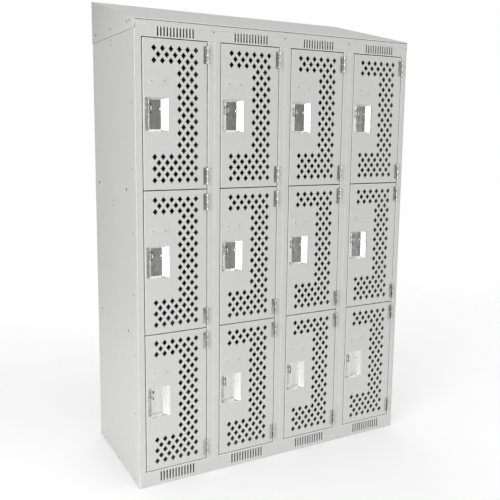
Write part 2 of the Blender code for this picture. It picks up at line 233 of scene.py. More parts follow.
def handling_group() -> bpy.types.NodeTree:
    """Faint wipe marks and hairline scratches from years of hands, bags and cleaning.

    Returns:
        The shader node group.
    """
    graph, given, end = named_tree(
        "Handling marks",
        "ShaderNodeTree",
        {"Amount": VALUE, "Lean": VALUE},
        {"Mask": VALUE, "Height": VALUE},
    )
    place = graph.node("ShaderNodeTexCoord").outputs["Object"]
    turn = graph.out("ShaderNodeCombineXYZ", {1: given["Lean"]})
    lines = graph.out("ShaderNodeMapping", {"Vector": place, "Rotation": turn, "Scale": (14.0, 14.0, 520.0)})
    scratch = graph.out("ShaderNodeTexNoise", {"Vector": lines, "Scale": 1.0, "Detail": 2.0})
    wipe = graph.out("ShaderNodeTexNoise", {"Vector": place, "Scale": 9.0, "Detail": 5.0, "Distortion": 0.8})
    hair = graph.remap(scratch, 0.66, 0.72, 0.0, 1.0)
    smear = graph.remap(wipe, 0.5, 0.8, 0.0, 0.25)
    mask = graph.math("MULTIPLY", graph.math("MAXIMUM", hair, smear), given["Amount"])
    graph.tree.links.new(mask, end.inputs["Mask"])
    graph.tree.links.new(graph.math("MULTIPLY", hair, given["Amount"]), end.inputs["Height"])
    return graph.tree


def drawn_steel_group() -> bpy.types.NodeTree:
    """Rolled or deep-drawn steel: long streaks, fine grain and a little haze.

    Returns:
        The shader node group.
    """
    graph, given, end = named_tree(
        "Drawn steel",
        "ShaderNodeTree",
        {"Colour": COLOUR, "Roughness": VALUE, "Streak Scale": VALUE, "Streak": VALUE},
        {"Colour": COLOUR, "Roughness": VALUE, "Height": VALUE},
    )
    place = graph.node("ShaderNodeTexCoord").outputs["Object"]
    size = graph.out("ShaderNodeCombineXYZ", {0: given["Streak Scale"], 1: given["Streak Scale"], 2: 3.0})
    along = graph.out("ShaderNodeVectorMath", {0: place, 1: size}, operation="MULTIPLY")
    streak = graph.out("ShaderNodeTexNoise", {"Vector": along, "Scale": 1.0, "Detail": 3.0})
    haze = graph.out("ShaderNodeTexNoise", {"Vector": place, "Scale": 45.0, "Detail": 3.0})
    low, high = graph.math("SUBTRACT", 1.0, given["Streak"]), graph.math("ADD", 1.0, given["Streak"])
    graph.tree.links.new(graph.scaled(given["Colour"], graph.remap(streak, 0.3, 0.7, low, high)), end.inputs["Colour"])
    rough = graph.math("ADD", given["Roughness"], graph.remap(haze, 0.35, 0.7, -0.03, 0.07))
    graph.tree.links.new(rough, end.inputs["Roughness"])
    graph.tree.links.new(streak, end.inputs["Height"])
    return graph.tree


@dataclass(frozen=True)
class Groups:
    """The shader groups that the finishes share."""

    coat: bpy.types.NodeTree
    edge_wear_highlight: bpy.types.NodeTree
    handling: bpy.types.NodeTree
    steel: bpy.types.NodeTree

    @classmethod
    def build(cls) -> "Groups":
        """Makes each group once."""
        return cls(powder_coat_group(), edge_wear_highlight_group(), handling_group(), drawn_steel_group())


def new_finish(name: str) -> tuple[bpy.types.Material, Graph, bpy.types.Node]:
    """An empty material with its graph and its Principled shader."""
    made = bpy.data.materials.new(name)
    made.use_nodes = True
    return made, Graph(made.node_tree), made.node_tree.nodes["Principled BSDF"]


@dataclass(frozen=True)
class PaintFinish:
    """Baked powder coat on sheet steel."""

    name: str
    colour: tuple[float, float, float]
    roughness: float = 0.40
    mottle: float = 0.006
    peel_scale: float = 620.0
    peel_depth: float = 0.00012
    dust: float = 0.10
    # How much the bends are lightened: painted highlight along the folds, with edge wear.
    edge_wear_highlight: float = 0.55
    handling: float = 0.10
    lean: float = 0.3

    def build(self, groups: Groups) -> bpy.types.Material:
        """Wires the paint.

        Args:
            groups: the shared shader groups.

        Returns:
            The material.
        """
        made, graph, shader = new_finish(self.name)
        coat = graph.node("ShaderNodeGroup", node_tree=groups.coat)
        coat.inputs["Colour"].default_value = (*self.colour, 1.0)
        coat.inputs["Mottle"].default_value = self.mottle
        coat.inputs["Roughness"].default_value = self.roughness
        coat.inputs["Peel Scale"].default_value = self.peel_scale
        coat.inputs["Dust"].default_value = self.dust
        edge_wear_highlight = graph.node("ShaderNodeGroup", node_tree=groups.edge_wear_highlight)
        graph.tree.links.new(coat.outputs["Colour"], edge_wear_highlight.inputs["Colour"])
        graph.tree.links.new(coat.outputs["Roughness"], edge_wear_highlight.inputs["Roughness"])
        # A pale colour on the bends: painted highlight, with edge wear.
        edge_wear_highlight.inputs["Rubbed Colour"].default_value = (0.86, 0.86, 0.85, 1.0)
        edge_wear_highlight.inputs["Amount"].default_value = self.edge_wear_highlight
        marks = graph.node("ShaderNodeGroup", node_tree=groups.handling)
        marks.inputs["Amount"].default_value = self.handling
        marks.inputs["Lean"].default_value = self.lean
        worn = tuple(min(1.0, part * 1.07) for part in self.colour)
        colour = graph.mixed(marks.outputs["Mask"], edge_wear_highlight.outputs["Colour"], (*worn, 1.0))
        rough = graph.math("ADD", edge_wear_highlight.outputs["Roughness"], graph.math("MULTIPLY", marks.outputs["Mask"], 0.12))
        graph.tree.links.new(colour, shader.inputs["Base Color"])
        graph.tree.links.new(rough, shader.inputs["Roughness"])
        shader.inputs["Specular IOR Level"].default_value = 0.45
        height = graph.math("SUBTRACT", coat.outputs["Height"], graph.math("MULTIPLY", marks.outputs["Height"], 0.4))
        bump = graph.out("ShaderNodeBump", {"Height": height, "Distance": self.peel_depth, "Strength": 0.7})
        graph.tree.links.new(bump, shader.inputs["Normal"])
        return made


@dataclass(frozen=True)
class SteelFinish:
    """Bare or plated steel."""

    name: str
    colour: tuple[float, float, float]
    roughness: float
    streak_scale: float = 420.0
    streak: float = 0.05
    depth: float = 0.00004
    handling: float = 0.4

    def build(self, groups: Groups) -> bpy.types.Material:
        """Wires the metal.

        Args:
            groups: the shared shader groups.

        Returns:
            The material.
        """
        made, graph, shader = new_finish(self.name)
        steel = graph.node("ShaderNodeGroup", node_tree=groups.steel)
        steel.inputs["Colour"].default_value = (*self.colour, 1.0)
        steel.inputs["Roughness"].default_value = self.roughness
        steel.inputs["Streak Scale"].default_value = self.streak_scale
        steel.inputs["Streak"].default_value = self.streak
        marks = graph.node("ShaderNodeGroup", node_tree=groups.handling)
        marks.inputs["Amount"].default_value = self.handling
        marks.inputs["Lean"].default_value = 1.1
        rough = graph.math("ADD", steel.outputs["Roughness"], graph.math("MULTIPLY", marks.outputs["Mask"], 0.14))
        graph.tree.links.new(steel.outputs["Colour"], shader.inputs["Base Color"])
        graph.tree.links.new(rough, shader.inputs["Roughness"])
        shader.inputs["Metallic"].default_value = 1.0
        height = graph.math("SUBTRACT", steel.outputs["Height"], marks.outputs["Height"])
        bump = graph.out("ShaderNodeBump", {"Height": height, "Distance": self.depth, "Strength": 0.6})
        graph.tree.links.new(bump, shader.inputs["Normal"])
        return made


@dataclass(frozen=True)
class Finishes:
    """Every material of the bank."""

    door: bpy.types.Material
    frame: bpy.types.Material
    panel: bpy.types.Material
    inside: bpy.types.Material
    cup: bpy.types.Material
    hinge: bpy.types.Material
    fastener: bpy.types.Material
    staple: bpy.types.Material

    @classmethod
    def build(cls) -> "Finishes":
        """Makes each finish once."""
        groups = Groups.build()
        grey = (0.565, 0.565, 0.56)
        return cls(
            door=PaintFinish("Door paint", grey, handling=0.14).build(groups),
            frame=PaintFinish("Frame paint", grey, lean=0.05).build(groups),
            panel=PaintFinish("Panel paint", grey, roughness=0.43, lean=0.6).build(groups),
            # A far darker grey than the outside paint of the same sheets: painted shade for the dim inside seen through
            # the holes.
            inside=PaintFinish("Inside paint", (0.30, 0.30, 0.296), roughness=0.5, dust=0.25, edge_wear_highlight=0.3).build(groups),
            cup=SteelFinish("Plated cup steel", (0.72, 0.72, 0.715), 0.23, streak_scale=80.0, streak=0.13, handling=0.12).build(groups),
            hinge=SteelFinish("Hinge steel", (0.50, 0.50, 0.49), 0.27, streak_scale=120.0).build(groups),
            # Near-black steel for every rivet, screw and bolt head: painted shade for the dark hole and shadow at each
            # small head.
            fastener=SteelFinish("Fastener steel", (0.20, 0.20, 0.20), 0.38, streak_scale=900.0).build(groups),
            staple=SteelFinish("Staple steel", (0.66, 0.655, 0.64), 0.20, streak_scale=700.0).build(groups),
        )


# ---------------------------------------------------------------- meshes


class Shell:
    """Collects closed shells and makes one mesh of them."""

    def __init__(self) -> None:
        """Starts with nothing."""
        self.vertices: list[Vector] = []
        self.faces: list[Face] = []

    def add(self, vertices: list, faces: list[Face]) -> "Shell":
        """Adds one closed shell and returns this collection."""
        base = len(self.vertices)
        self.vertices += [Vector(v) for v in vertices]
        self.faces += [tuple(base + i for i in face) for face in faces]
        return self

    def mesh(self, name: str, finish: bpy.types.Material | None = None, angle: float = 32.0) -> bpy.types.Mesh:
        """Makes the mesh, with faces outwards and folds shaded smooth.

        Args:
            name: the mesh's name.
            finish: its material.
            angle: edges sharper than this many degrees stay crisp.

        Returns:
            The mesh.
        """
        made = bpy.data.meshes.new(name)
        made.from_pydata(self.vertices, [], self.faces)
        tidy = bmesh.new()
        tidy.from_mesh(made)
        bmesh.ops.recalc_face_normals(tidy, faces=tidy.faces)
        tidy.to_mesh(made)
        tidy.free()
        if finish is not None:
            made.materials.append(finish)
        return smoothed(made, angle)


def smoothed(mesh: bpy.types.Mesh, angle: float = 32.0, plain_front: bool = False) -> bpy.types.Mesh:
    """Shades a mesh and marks its bends for the paint's painted highlight and edge wear.

    Args:
        mesh: the mesh.
        angle: edges sharper than this many degrees stay crisp.
        plain_front: whether faces that look straight forward are shaded flat.

    Returns:
        The same mesh.
    """
    mesh.shade_smooth()
    mesh.set_sharp_from_angle(angle=math.radians(angle))
    read = bmesh.new()
    read.from_mesh(mesh)
    bends = [0.0] * len(read.faces)
    for edge in read.edges:
        turn = math.degrees(edge.calc_face_angle(0.0))
        if 2.0 < turn < 40.0:
            for face in edge.link_faces:
                bends[face.index] = max(bends[face.index], min(turn / 20.0, 1.0))
    for face in read.faces:
        if face.calc_area() > 6.0 * MM * max(edge.calc_length() for edge in face.edges):
            bends[face.index] = 0.0
    read.free()
    mesh.attributes.new("bend", "FLOAT", "FACE").data.foreach_set("value", bends)
    if plain_front:
        for face in mesh.polygons:
            face.use_smooth = abs(face.normal.y) < 0.9999
    return mesh


def shown(name: str, mesh: bpy.types.Mesh) -> bpy.types.Object:
    """Puts a mesh in the scene as an object at the origin."""
    made = bpy.data.objects.new(name, mesh)
    bpy.context.scene.collection.objects.link(made)
    return made


def copied(name: str, mesh: bpy.types.Mesh, offset: Vector) -> bpy.types.Object:
    """Puts a copy of a pattern mesh in the scene, moved in its own vertices."""
    mine = mesh.copy()
    mine.name = name
    mine.transform(Matrix.Translation(offset))
    return shown(name, mine)


def rounded_ring(centre: Point, half: Point, corner: float, y: float, steps: int = 3) -> list[Vector]:
    """A rounded rectangle that faces the front.

    Args:
        centre: its middle, in X and Z.
        half: half its width and height.
        corner: the corner radius.
        y: how deep it lies.
        steps: pieces in each corner's arc.

    Returns:
        Its points.
    """
    points = []
    for quarter in range(4):
        sign_x = 1 if quarter in (0, 3) else -1
        sign_z = 1 if quarter in (0, 1) else -1
        for step in range(steps + 1):
            angle = math.radians(90 * (quarter + step / steps))
            x = centre[0] + sign_x * (half[0] - corner) + corner * math.cos(angle)
            z = centre[1] + sign_z * (half[1] - corner) + corner * math.sin(angle)
            points.append(Vector((x, y, z)))
    return points


def lofted(rings: list[list[Vector]], closed: bool = False) -> tuple[list[Vector], list[Face]]:
    """Joins rings one to the next.

    Args:
        rings: loops of the same length.
        closed: whether the last ring joins the first; otherwise both ends are capped.

    Returns:
        The vertices and faces of a closed shell.
    """
    count = len(rings[0])
    vertices = [point for ring in rings for point in ring]
    faces: list[Face] = []
    for row in range(len(rings) if closed else len(rings) - 1):
        after = (row + 1) % len(rings)
        for i in range(count):
            j = (i + 1) % count
            faces.append((row * count + i, row * count + j, after * count + j, after * count + i))
    if not closed:
        last = (len(rings) - 1) * count
        faces += [tuple(range(count))[::-1], tuple(range(last, last + count))]
    return vertices, faces


@dataclass(frozen=True)
class Fold:
    """How sheet steel is bent."""

    sheet: float = 1.2 * MM
    bend: float = 1.9 * MM
    steps: int = 4
    hold: float = 0.35 * MM

    def ladder(self, path: list[Point], side: int) -> list[tuple[Point, Point]]:
        """Bends a sheet along a path.

        Args:
            path: the corners of one face of the sheet.
            side: 1 if the sheet lies on the left of the path as it runs, -1 on the right.

        Returns:
            Pairs of points, on the path's face and on the other face.
        """
        points = [Vector(p) for p in path]
        legs = [(b - a).normalized() for a, b in zip(points, points[1:])]
        normals = [Vector((-leg.y, leg.x)) for leg in legs]
        pairs = [(points[0], points[0] + normals[0] * side * self.sheet)]
        for i in range(1, len(points) - 1):
            before, after = legs[i - 1], legs[i]
            turn = math.atan2(before.x * after.y - before.y * after.x, before.dot(after))
            inward = (turn > 0) == (side > 0)
            near, far = (self.bend, self.bend - self.sheet) if inward else (self.bend - self.sheet, self.bend)
            way = 1 if turn > 0 else -1
            centre = points[i] - before * near * math.tan(abs(turn) / 2) + normals[i - 1] * near * way
            start = -normals[i - 1] * way
            rungs = []
            for step in range(self.steps + 1):
                arm = start.copy()
                arm.rotate(Matrix.Rotation(turn * step / self.steps, 2))
                rungs.append((centre + arm * near, centre + arm * far))
            pairs.append(tuple(p - before * self.hold for p in rungs[0]))
            pairs += rungs
            pairs.append(tuple(p + after * self.hold for p in rungs[-1]))
        pairs.append((points[-1], points[-1] + normals[-1] * side * self.sheet))
        return [((a.x, a.y), (b.x, b.y)) for a, b in pairs]

    def run(self, path: list[Point], side: int, axis: int, start: float, stop: float) -> tuple[list, list[Face]]:
        """A folded sheet drawn across an axis and run along it.

        Args:
            path: corners in the two other axes, in X, Y, Z order.
            side: 1 or -1, as for ladder.
            axis: 0, 1 or 2.
            start: where it begins on the axis.
            stop: where it ends.

        Returns:
            The vertices and faces of a closed shell.
        """
        pairs = self.ladder(path, side)
        count = len(pairs)
        others = [i for i in range(3) if i != axis]
        vertices, faces = [], []
        for place in (start, stop):
            for pick in (0, 1):
                for pair in pairs:
                    point = [0.0, 0.0, 0.0]
                    point[axis] = place
                    point[others[0]], point[others[1]] = pair[pick]
                    vertices.append(tuple(point))
        near0, far0, near1, far1 = (count * i for i in range(4))
        for i in range(count - 1):
            faces.append((near0 + i, near0 + i + 1, near1 + i + 1, near1 + i))
            faces.append((far0 + i, far1 + i, far1 + i + 1, far0 + i + 1))
            faces.append((near0 + i, far0 + i, far0 + i + 1, near0 + i + 1))
            faces.append((near1 + i, near1 + i + 1, far1 + i + 1, far1 + i))
        last = count - 1
        faces.append((near0, near1, far1, far0))
        faces.append((near0 + last, far0 + last, far1 + last, near1 + last))
        return vertices, faces


def plate(centre: Point, half: Point, corner: float, front: float, back: float, round_off: float) -> tuple[list, list[Face]]:
    """A flat plate that faces the front, with rounded corners and a softened edge.

    Args:
        centre: its middle, in X and Z.
        half: half its width and height.
        corner: the corner radius.
        front: the Y of its face.
        back: the Y of its back.
        round_off: how much the front edge is rounded.

    Returns:
        The vertices and faces of a closed shell.
    """
    rings = []
    for step in range(4):
        angle = math.pi / 2 * step / 3
        inset = round_off * (1 - math.sin(angle))
        y = front + round_off * (1 - math.cos(angle))
        size = (half[0] - inset, half[1] - inset)
        rings.append(rounded_ring(centre, size, max(corner - inset, 0.1 * MM), y))
    rings.append(rounded_ring(centre, half, corner, back))
    return lofted(rings)


def tube(path: list[Vector], radius: float, sides: int = 10) -> tuple[list[Vector], list[Face]]:
    """A round bar along a path, with closed ends.

    Args:
        path: the middle of the bar.
        radius: its radius.
        sides: faces round the bar.

    Returns:
        The vertices and faces of a closed shell.
    """
    rings = []
    across = Vector((1, 0, 0))
    for i, point in enumerate(path):
        along = (path[min(i + 1, len(path) - 1)] - path[max(i - 1, 0)]).normalized()
        across = (across - along * across.dot(along)).normalized()
        other = along.cross(across)
        angles = [2 * math.pi * k / sides for k in range(sides)]
        rings.append([point + (across * math.cos(a) + other * math.sin(a)) * radius for a in angles])
    return lofted(rings)


def smooth_path(points: list[tuple[float, float, float]], steps: int = 6) -> list[Vector]:
    """A curve through points, for a bent rod.

    Args:
        points: what the rod passes through.
        steps: pieces between two points.

    Returns:
        The curve's points.
    """
    knots = [Vector(p) for p in points]
    ends = [knots[0] * 2 - knots[1], *knots, knots[-1] * 2 - knots[-2]]
    path = []
    for i in range(1, len(ends) - 2):
        a, b, c, d = ends[i - 1 : i + 3]
        for step in range(steps):
            t = step / steps
            curve = b * 2 + (c - a) * t + (a * 2 - b * 5 + c * 4 - d) * t * t + (b * 3 - a - c * 3 + d) * t**3
            path.append(curve / 2)
    return [*path, knots[-1]]


# ---------------------------------------------------------------- geometry-node recipes


GEOMETRY, NUMBER, WHOLE = "NodeSocketGeometry", "NodeSocketFloat", "NodeSocketInt"
VECTOR, OBJECT, MATERIAL = "NodeSocketVector", "NodeSocketObject", "NodeSocketMaterial"


class Recipe:
    """A geometry-nodes tree that ends in plain, dressed geometry."""

    def __init__(self, name: str, inputs: dict[str, str]) -> None:
        """Starts the tree.

        Args:
            name: the tree's name.
            inputs: each input's name and socket type, beside Geometry and Finish.
        """
        sockets = {"Geometry": GEOMETRY, "Finish": MATERIAL, **inputs}
        self.graph, self.given, self.end = named_tree(name, "GeometryNodeTree", sockets, {"Geometry": GEOMETRY})

    def close(self, geometry: bpy.types.NodeSocket) -> "Recipe":
        """Ends the tree in Realize Instances and Set Material, and returns the recipe."""
        realized = self.graph.out("GeometryNodeRealizeInstances", {0: geometry})
        dressed = self.graph.out("GeometryNodeSetMaterial", {"Geometry": realized, "Material": self.given["Finish"]})
        self.graph.tree.links.new(dressed, self.end.inputs[0])
        return self

    def mesh(self, name: str, base: bpy.types.Mesh, settings: dict[str, object], plain_front: bool = False) -> bpy.types.Mesh:
        """Runs the tree on a mesh.

        Args:
            name: the new mesh's name.
            base: what goes in as Geometry.
            settings: the inputs' values by name.
            plain_front: whether faces that look straight forward are shaded flat.

        Returns:
            The result as a plain mesh.
        """
        holder = shown(name, base)
        modifier = holder.modifiers.new(name, "NODES")
        modifier.node_group = self.graph.tree
        for item in self.graph.tree.interface.items_tree:
            if item.item_type == "SOCKET" and item.in_out == "INPUT" and item.name in settings:
                modifier[item.identifier] = settings[item.name]
        bpy.context.view_layer.update()
        depsgraph = bpy.context.evaluated_depsgraph_get()
        made = bpy.data.meshes.new_from_object(holder.evaluated_get(depsgraph), depsgraph=depsgraph)
        holder.modifiers.remove(modifier)
        bpy.data.objects.remove(holder)
        made.name = name
        return smoothed(made, 28.0, plain_front)


def perforation_recipe() -> Recipe:
    """Diamond holes in staggered rows, with a plain patch at the lock side, and one free opening.

    Returns:
        The recipe.
    """
    recipe = Recipe(
        "Door perforations",
        {
            "Opening": OBJECT,
            "Hole Width": NUMBER,
            "Hole Height": NUMBER,
            "Pitch": NUMBER,
            "Row Rise": NUMBER,
            "Columns": WHOLE,
            "Rows": WHOLE,
            "Plain Columns": WHOLE,
            "Plain Rows Start": WHOLE,
            "Plain Rows End": WHOLE,
            "Pattern Centre": VECTOR,
            "Cut Depth": NUMBER,
        },
    )
    graph, given = recipe.graph, recipe.given
    across = graph.math("MULTIPLY", graph.math("SUBTRACT", given["Columns"], 1.0), given["Pitch"])
    up = graph.math("MULTIPLY", graph.math("SUBTRACT", given["Rows"], 1.0), given["Row Rise"])
    grid = graph.out(
        "GeometryNodeMeshGrid",
        {"Size X": across, "Size Y": up, "Vertices X": given["Columns"], "Vertices Y": given["Rows"]},
    )
    index = graph.out("GeometryNodeInputIndex")
    row = graph.math("FLOORED_MODULO", index, given["Rows"])
    column = graph.math("FLOOR", graph.math("DIVIDE", graph.math("ADD", index, 0.5), given["Rows"]))
    odd = graph.math("FLOORED_MODULO", row, 2.0)
    shift = graph.out("ShaderNodeCombineXYZ", {0: graph.math("MULTIPLY", odd, graph.math("MULTIPLY", given["Pitch"], 0.5))})
    staggered = graph.out("GeometryNodeSetPosition", {"Geometry": grid, "Offset": shift})
    outside = graph.math("MULTIPLY", odd, graph.math("GREATER_THAN", column, graph.math("SUBTRACT", given["Columns"], 1.5)))
    from_row = graph.math("GREATER_THAN", row, graph.math("SUBTRACT", given["Plain Rows Start"], 0.5))
    to_row = graph.math("LESS_THAN", row, graph.math("ADD", given["Plain Rows End"], 0.5))
    lock_side = graph.math("LESS_THAN", column, graph.math("SUBTRACT", given["Plain Columns"], 0.5))
    patch = graph.math("MULTIPLY", graph.math("MULTIPLY", from_row, to_row), lock_side)
    gone = graph.math("GREATER_THAN", graph.math("ADD", outside, patch), 0.5)
    kept = graph.out("GeometryNodeDeleteGeometry", {"Geometry": staggered, "Selection": gone}, domain="POINT")
    upright = graph.out(
        "GeometryNodeTransform",
        {"Geometry": kept, "Rotation": Euler((math.radians(90), 0, 0)), "Translation": given["Pattern Centre"]},
    )
    prism = graph.out("GeometryNodeMeshCylinder", {"Vertices": 4, "Radius": 0.5, "Depth": 1.0}, fill_type="NGON")
    size = graph.out("ShaderNodeCombineXYZ", {0: given["Hole Width"], 1: given["Hole Height"], 2: given["Cut Depth"]})
    sized = graph.out("GeometryNodeTransform", {"Geometry": prism, "Scale": size})
    through = graph.out("GeometryNodeTransform", {"Geometry": sized, "Rotation": Euler((math.radians(90), 0, 0))})
    cutters = graph.out("GeometryNodeInstanceOnPoints", {"Points": upright, "Instance": through})
    loose = graph.out("GeometryNodeRealizeInstances", {0: cutters})
    opening = graph.node("GeometryNodeObjectInfo", {"Object": given["Opening"]}).outputs["Geometry"]
    joined = graph.node("GeometryNodeJoinGeometry")
    graph.tree.links.new(loose, joined.inputs[0])
    graph.tree.links.new(opening, joined.inputs[0])
    cut = graph.node(
        "GeometryNodeMeshBoolean",
        {"Mesh 1": given["Geometry"]},
        operation="DIFFERENCE",
        solver="EXACT",
    )
    graph.tree.links.new(joined.outputs[0], cut.inputs["Mesh 2"])
    return recipe.close(cut.outputs[0])


def louvre_recipe() -> Recipe:
    """A row of upright slots, each with a pressed lip beside it.

    Returns:
        The recipe.
    """
    recipe = Recipe(
        "Louvre row",
        {"Lip": OBJECT, "Count": WHOLE, "Pitch": NUMBER, "First": VECTOR, "Slot Size": VECTOR},
    )
    graph, given = recipe.graph, recipe.given
    step = graph.out("ShaderNodeCombineXYZ", {0: given["Pitch"]})
    line = graph.out("GeometryNodeMeshLine", {"Count": given["Count"], "Start Location": given["First"], "Offset": step})
    cutter = graph.out("GeometryNodeMeshCube", {"Size": given["Slot Size"]})
    slots = graph.out("GeometryNodeInstanceOnPoints", {"Points": line, "Instance": cutter})
    loose = graph.out("GeometryNodeRealizeInstances", {0: slots})
    cut = graph.node("GeometryNodeMeshBoolean", {"Mesh 1": given["Geometry"]}, operation="DIFFERENCE", solver="EXACT")
    graph.tree.links.new(loose, cut.inputs["Mesh 2"])
    form = graph.node("GeometryNodeObjectInfo", {"Object": given["Lip"], "As Instance": True}).outputs["Geometry"]
    lips = graph.out("GeometryNodeInstanceOnPoints", {"Points": line, "Instance": form})
    joined = graph.node("GeometryNodeJoinGeometry")
    graph.tree.links.new(cut.outputs[0], joined.inputs[0])
    graph.tree.links.new(lips, joined.inputs[0])
    return recipe.close(joined.outputs[0])


def fastener_recipe() -> Recipe:
    """Low domed heads on washers, at each point and looking the way the point faces.

    Returns:
        The recipe.
    """
    recipe = Recipe(
        "Fastener heads",
        {"Head Radius": NUMBER, "Head Rise": NUMBER, "Washer Radius": NUMBER, "Washer Rise": NUMBER, "Sides": WHOLE},
    )
    graph, given = recipe.graph, recipe.given
    ball = graph.out("GeometryNodeMeshUVSphere", {"Segments": given["Sides"], "Rings": 6, "Radius": 1.0})
    dome = graph.out("ShaderNodeCombineXYZ", {0: given["Head Radius"], 1: given["Head Radius"], 2: given["Head Rise"]})
    head = graph.out("GeometryNodeTransform", {"Geometry": ball, "Scale": dome})
    rim = graph.math("MULTIPLY", given["Washer Radius"], 0.86)
    disc = graph.out(
        "GeometryNodeMeshCone",
        {"Vertices": given["Sides"], "Radius Top": rim, "Radius Bottom": given["Washer Radius"], "Depth": given["Washer Rise"]},
    )
    joined = graph.node("GeometryNodeJoinGeometry")
    graph.tree.links.new(head, joined.inputs[0])
    graph.tree.links.new(disc, joined.inputs[0])
    facing = graph.out("GeometryNodeInputNamedAttribute", {"Name": "facing"}, data_type="FLOAT_VECTOR")
    turn = graph.out("FunctionNodeAlignRotationToVector", {"Vector": facing}, axis="Z")
    heads = graph.out(
        "GeometryNodeInstanceOnPoints",
        {"Points": given["Geometry"], "Instance": joined.outputs[0], "Rotation": turn},
    )
    return recipe.close(heads)


def knuckle_recipe() -> Recipe:
    """Rolled knuckles stacked along a pin, with eased ends; every other one belongs to the same leaf.

    Returns:
        The recipe.
    """
    recipe = Recipe(
        "Hinge knuckles",
        {"Count": WHOLE, "Spacing": NUMBER, "Length": NUMBER, "Radius": NUMBER, "Sides": WHOLE},
    )
    graph, given = recipe.graph, recipe.given
    top = graph.out("ShaderNodeCombineXYZ", {2: given["Length"]})
    line = graph.out("GeometryNodeCurvePrimitiveLine", {"End": top})
    cut = graph.out("GeometryNodeResampleCurve", {"Curve": line, "Count": 12})
    along = graph.node("GeometryNodeSplineParameter").outputs["Factor"]
    from_end = graph.math("SUBTRACT", 0.5, graph.math("ABSOLUTE", graph.math("SUBTRACT", along, 0.5)))
    eased = graph.remap(from_end, 0.0, 0.08, 0.82, 1.0)
    circle = graph.out("GeometryNodeCurvePrimitiveCircle", {"Resolution": given["Sides"], "Radius": given["Radius"]})
    barrel = graph.out(
        "GeometryNodeCurveToMesh", {"Curve": cut, "Profile Curve": circle, "Scale": eased, "Fill Caps": True}
    )
    step = graph.out("ShaderNodeCombineXYZ", {2: given["Spacing"]})
    spots = graph.out("GeometryNodeMeshLine", {"Count": given["Count"], "Offset": step})
    row = graph.out("GeometryNodeInstanceOnPoints", {"Points": spots, "Instance": barrel})
    spread = graph.out("GeometryNodeInstanceOnPoints", {"Points": given["Geometry"], "Instance": row})
    return recipe.close(spread)


def spots(name: str, places: list[tuple[Vector, Vector]]) -> bpy.types.Mesh:
    """Loose points, each with the way that it faces.

    Args:
        name: the mesh's name.
        places: points and facings.

    Returns:
        The mesh.
    """
    made = bpy.data.meshes.new(name)
    made.from_pydata([place for place, _ in places], [], [])
    facing = made.attributes.new("facing", "FLOAT_VECTOR", "POINT")
    for item, (_, way) in zip(facing.data, places):
        item.vector = way
    return made


@dataclass(frozen=True)
class Recipes:
    """The bank's geometry-node trees."""

    perforations: Recipe
    louvres: Recipe
    fasteners: Recipe
    knuckles: Recipe

    @classmethod
    def build(cls) -> "Recipes":
        """Makes each tree once."""
        return cls(perforation_recipe(), louvre_recipe(), fastener_recipe(), knuckle_recipe())


@dataclass(frozen=True)
class Head:
    """One kind of fastener head on its washer."""

    radius: float
    rise: float
    washer: float
    washer_rise: float
    sides: int

    def mesh(
        self, recipes: Recipes, name: str, places: list[tuple[Vector, Vector]], finish: bpy.types.Material
    ) -> bpy.types.Mesh:
        """Puts a head at each place.

        Args:
            recipes: the geometry-node trees.
            name: the mesh's name.
            places: points and the way that each head faces.
            finish: the heads' material.

        Returns:
            The mesh.
        """
        settings = {
            "Finish": finish,
            "Head Radius": self.radius,
            "Head Rise": self.rise,
            "Washer Radius": self.washer,
            "Washer Rise": self.washer_rise,
            "Sides": self.sides,
        }
        return recipes.fasteners.mesh(name, spots(name, places), settings)


# ---------------------------------------------------------------- the bank


@dataclass(frozen=True)
class Bank:
    """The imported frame's planes and lines, and the sizes that repeat in every column."""

    left: float
    right: float
    front: float
    back: float
    bases: dict[Tier, float]
    pins: dict[str, Vector]
    columns: int = 4
    post: float = 25.4 * MM
    gap: float = 3.0 * MM
    side_top: float = 1.6985

    @classmethod
    def from_frame(cls, joints: list[dict]) -> "Bank":
        """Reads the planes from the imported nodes.

        Args:
            joints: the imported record's joints.

        Returns:
            The bank.
        """
        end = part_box("hood_end_left")
        return cls(
            left=end[0].x,
            right=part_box("hood_end_right")[1].x,
            front=end[0].y,
            back=end[1].y,
            bases={tier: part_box(f"door_1_{tier.value}")[0].z for tier in Tier},
            pins={joint["child"]: Vector(joint["pos_m"]) for joint in joints},
        )

    @property
    def pitch(self) -> float:
        """From one column to the next."""
        return (self.right - self.left) / self.columns

    def column(self, number: int) -> float:
        """The left edge of a column, counted from 1."""
        return self.left + (number - 1) * self.pitch

    def corner(self, number: int, tier: Tier) -> Vector:
        """The lower left corner of a door's face."""
        return Vector((self.column(number) + self.post + self.gap, self.front, self.bases[tier]))

    def doors(self) -> list[tuple[int, Tier]]:
        """Every door's column and tier."""
        return [(number, tier) for number in range(1, self.columns + 1) for tier in Tier]


class Fitter:
    """Hands finished pieces to the frame."""

    def __init__(self) -> None:
        """Starts the count."""
        self.count = 0

    def fit(self, piece: bpy.types.Object, body: str, slot: Slot, *nodes: str) -> None:
        """Makes a piece ride on a body.

        Args:
            piece: the finished object.
            body: the body's name.
            slot: the finish slot of the record; not used.
            nodes: the CAD nodes that it stands for.
        """
        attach(piece, body)
        if nodes:
            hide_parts(*nodes)
        self.count += 1
        LOG.info("%s rides on %s", piece.name, body)


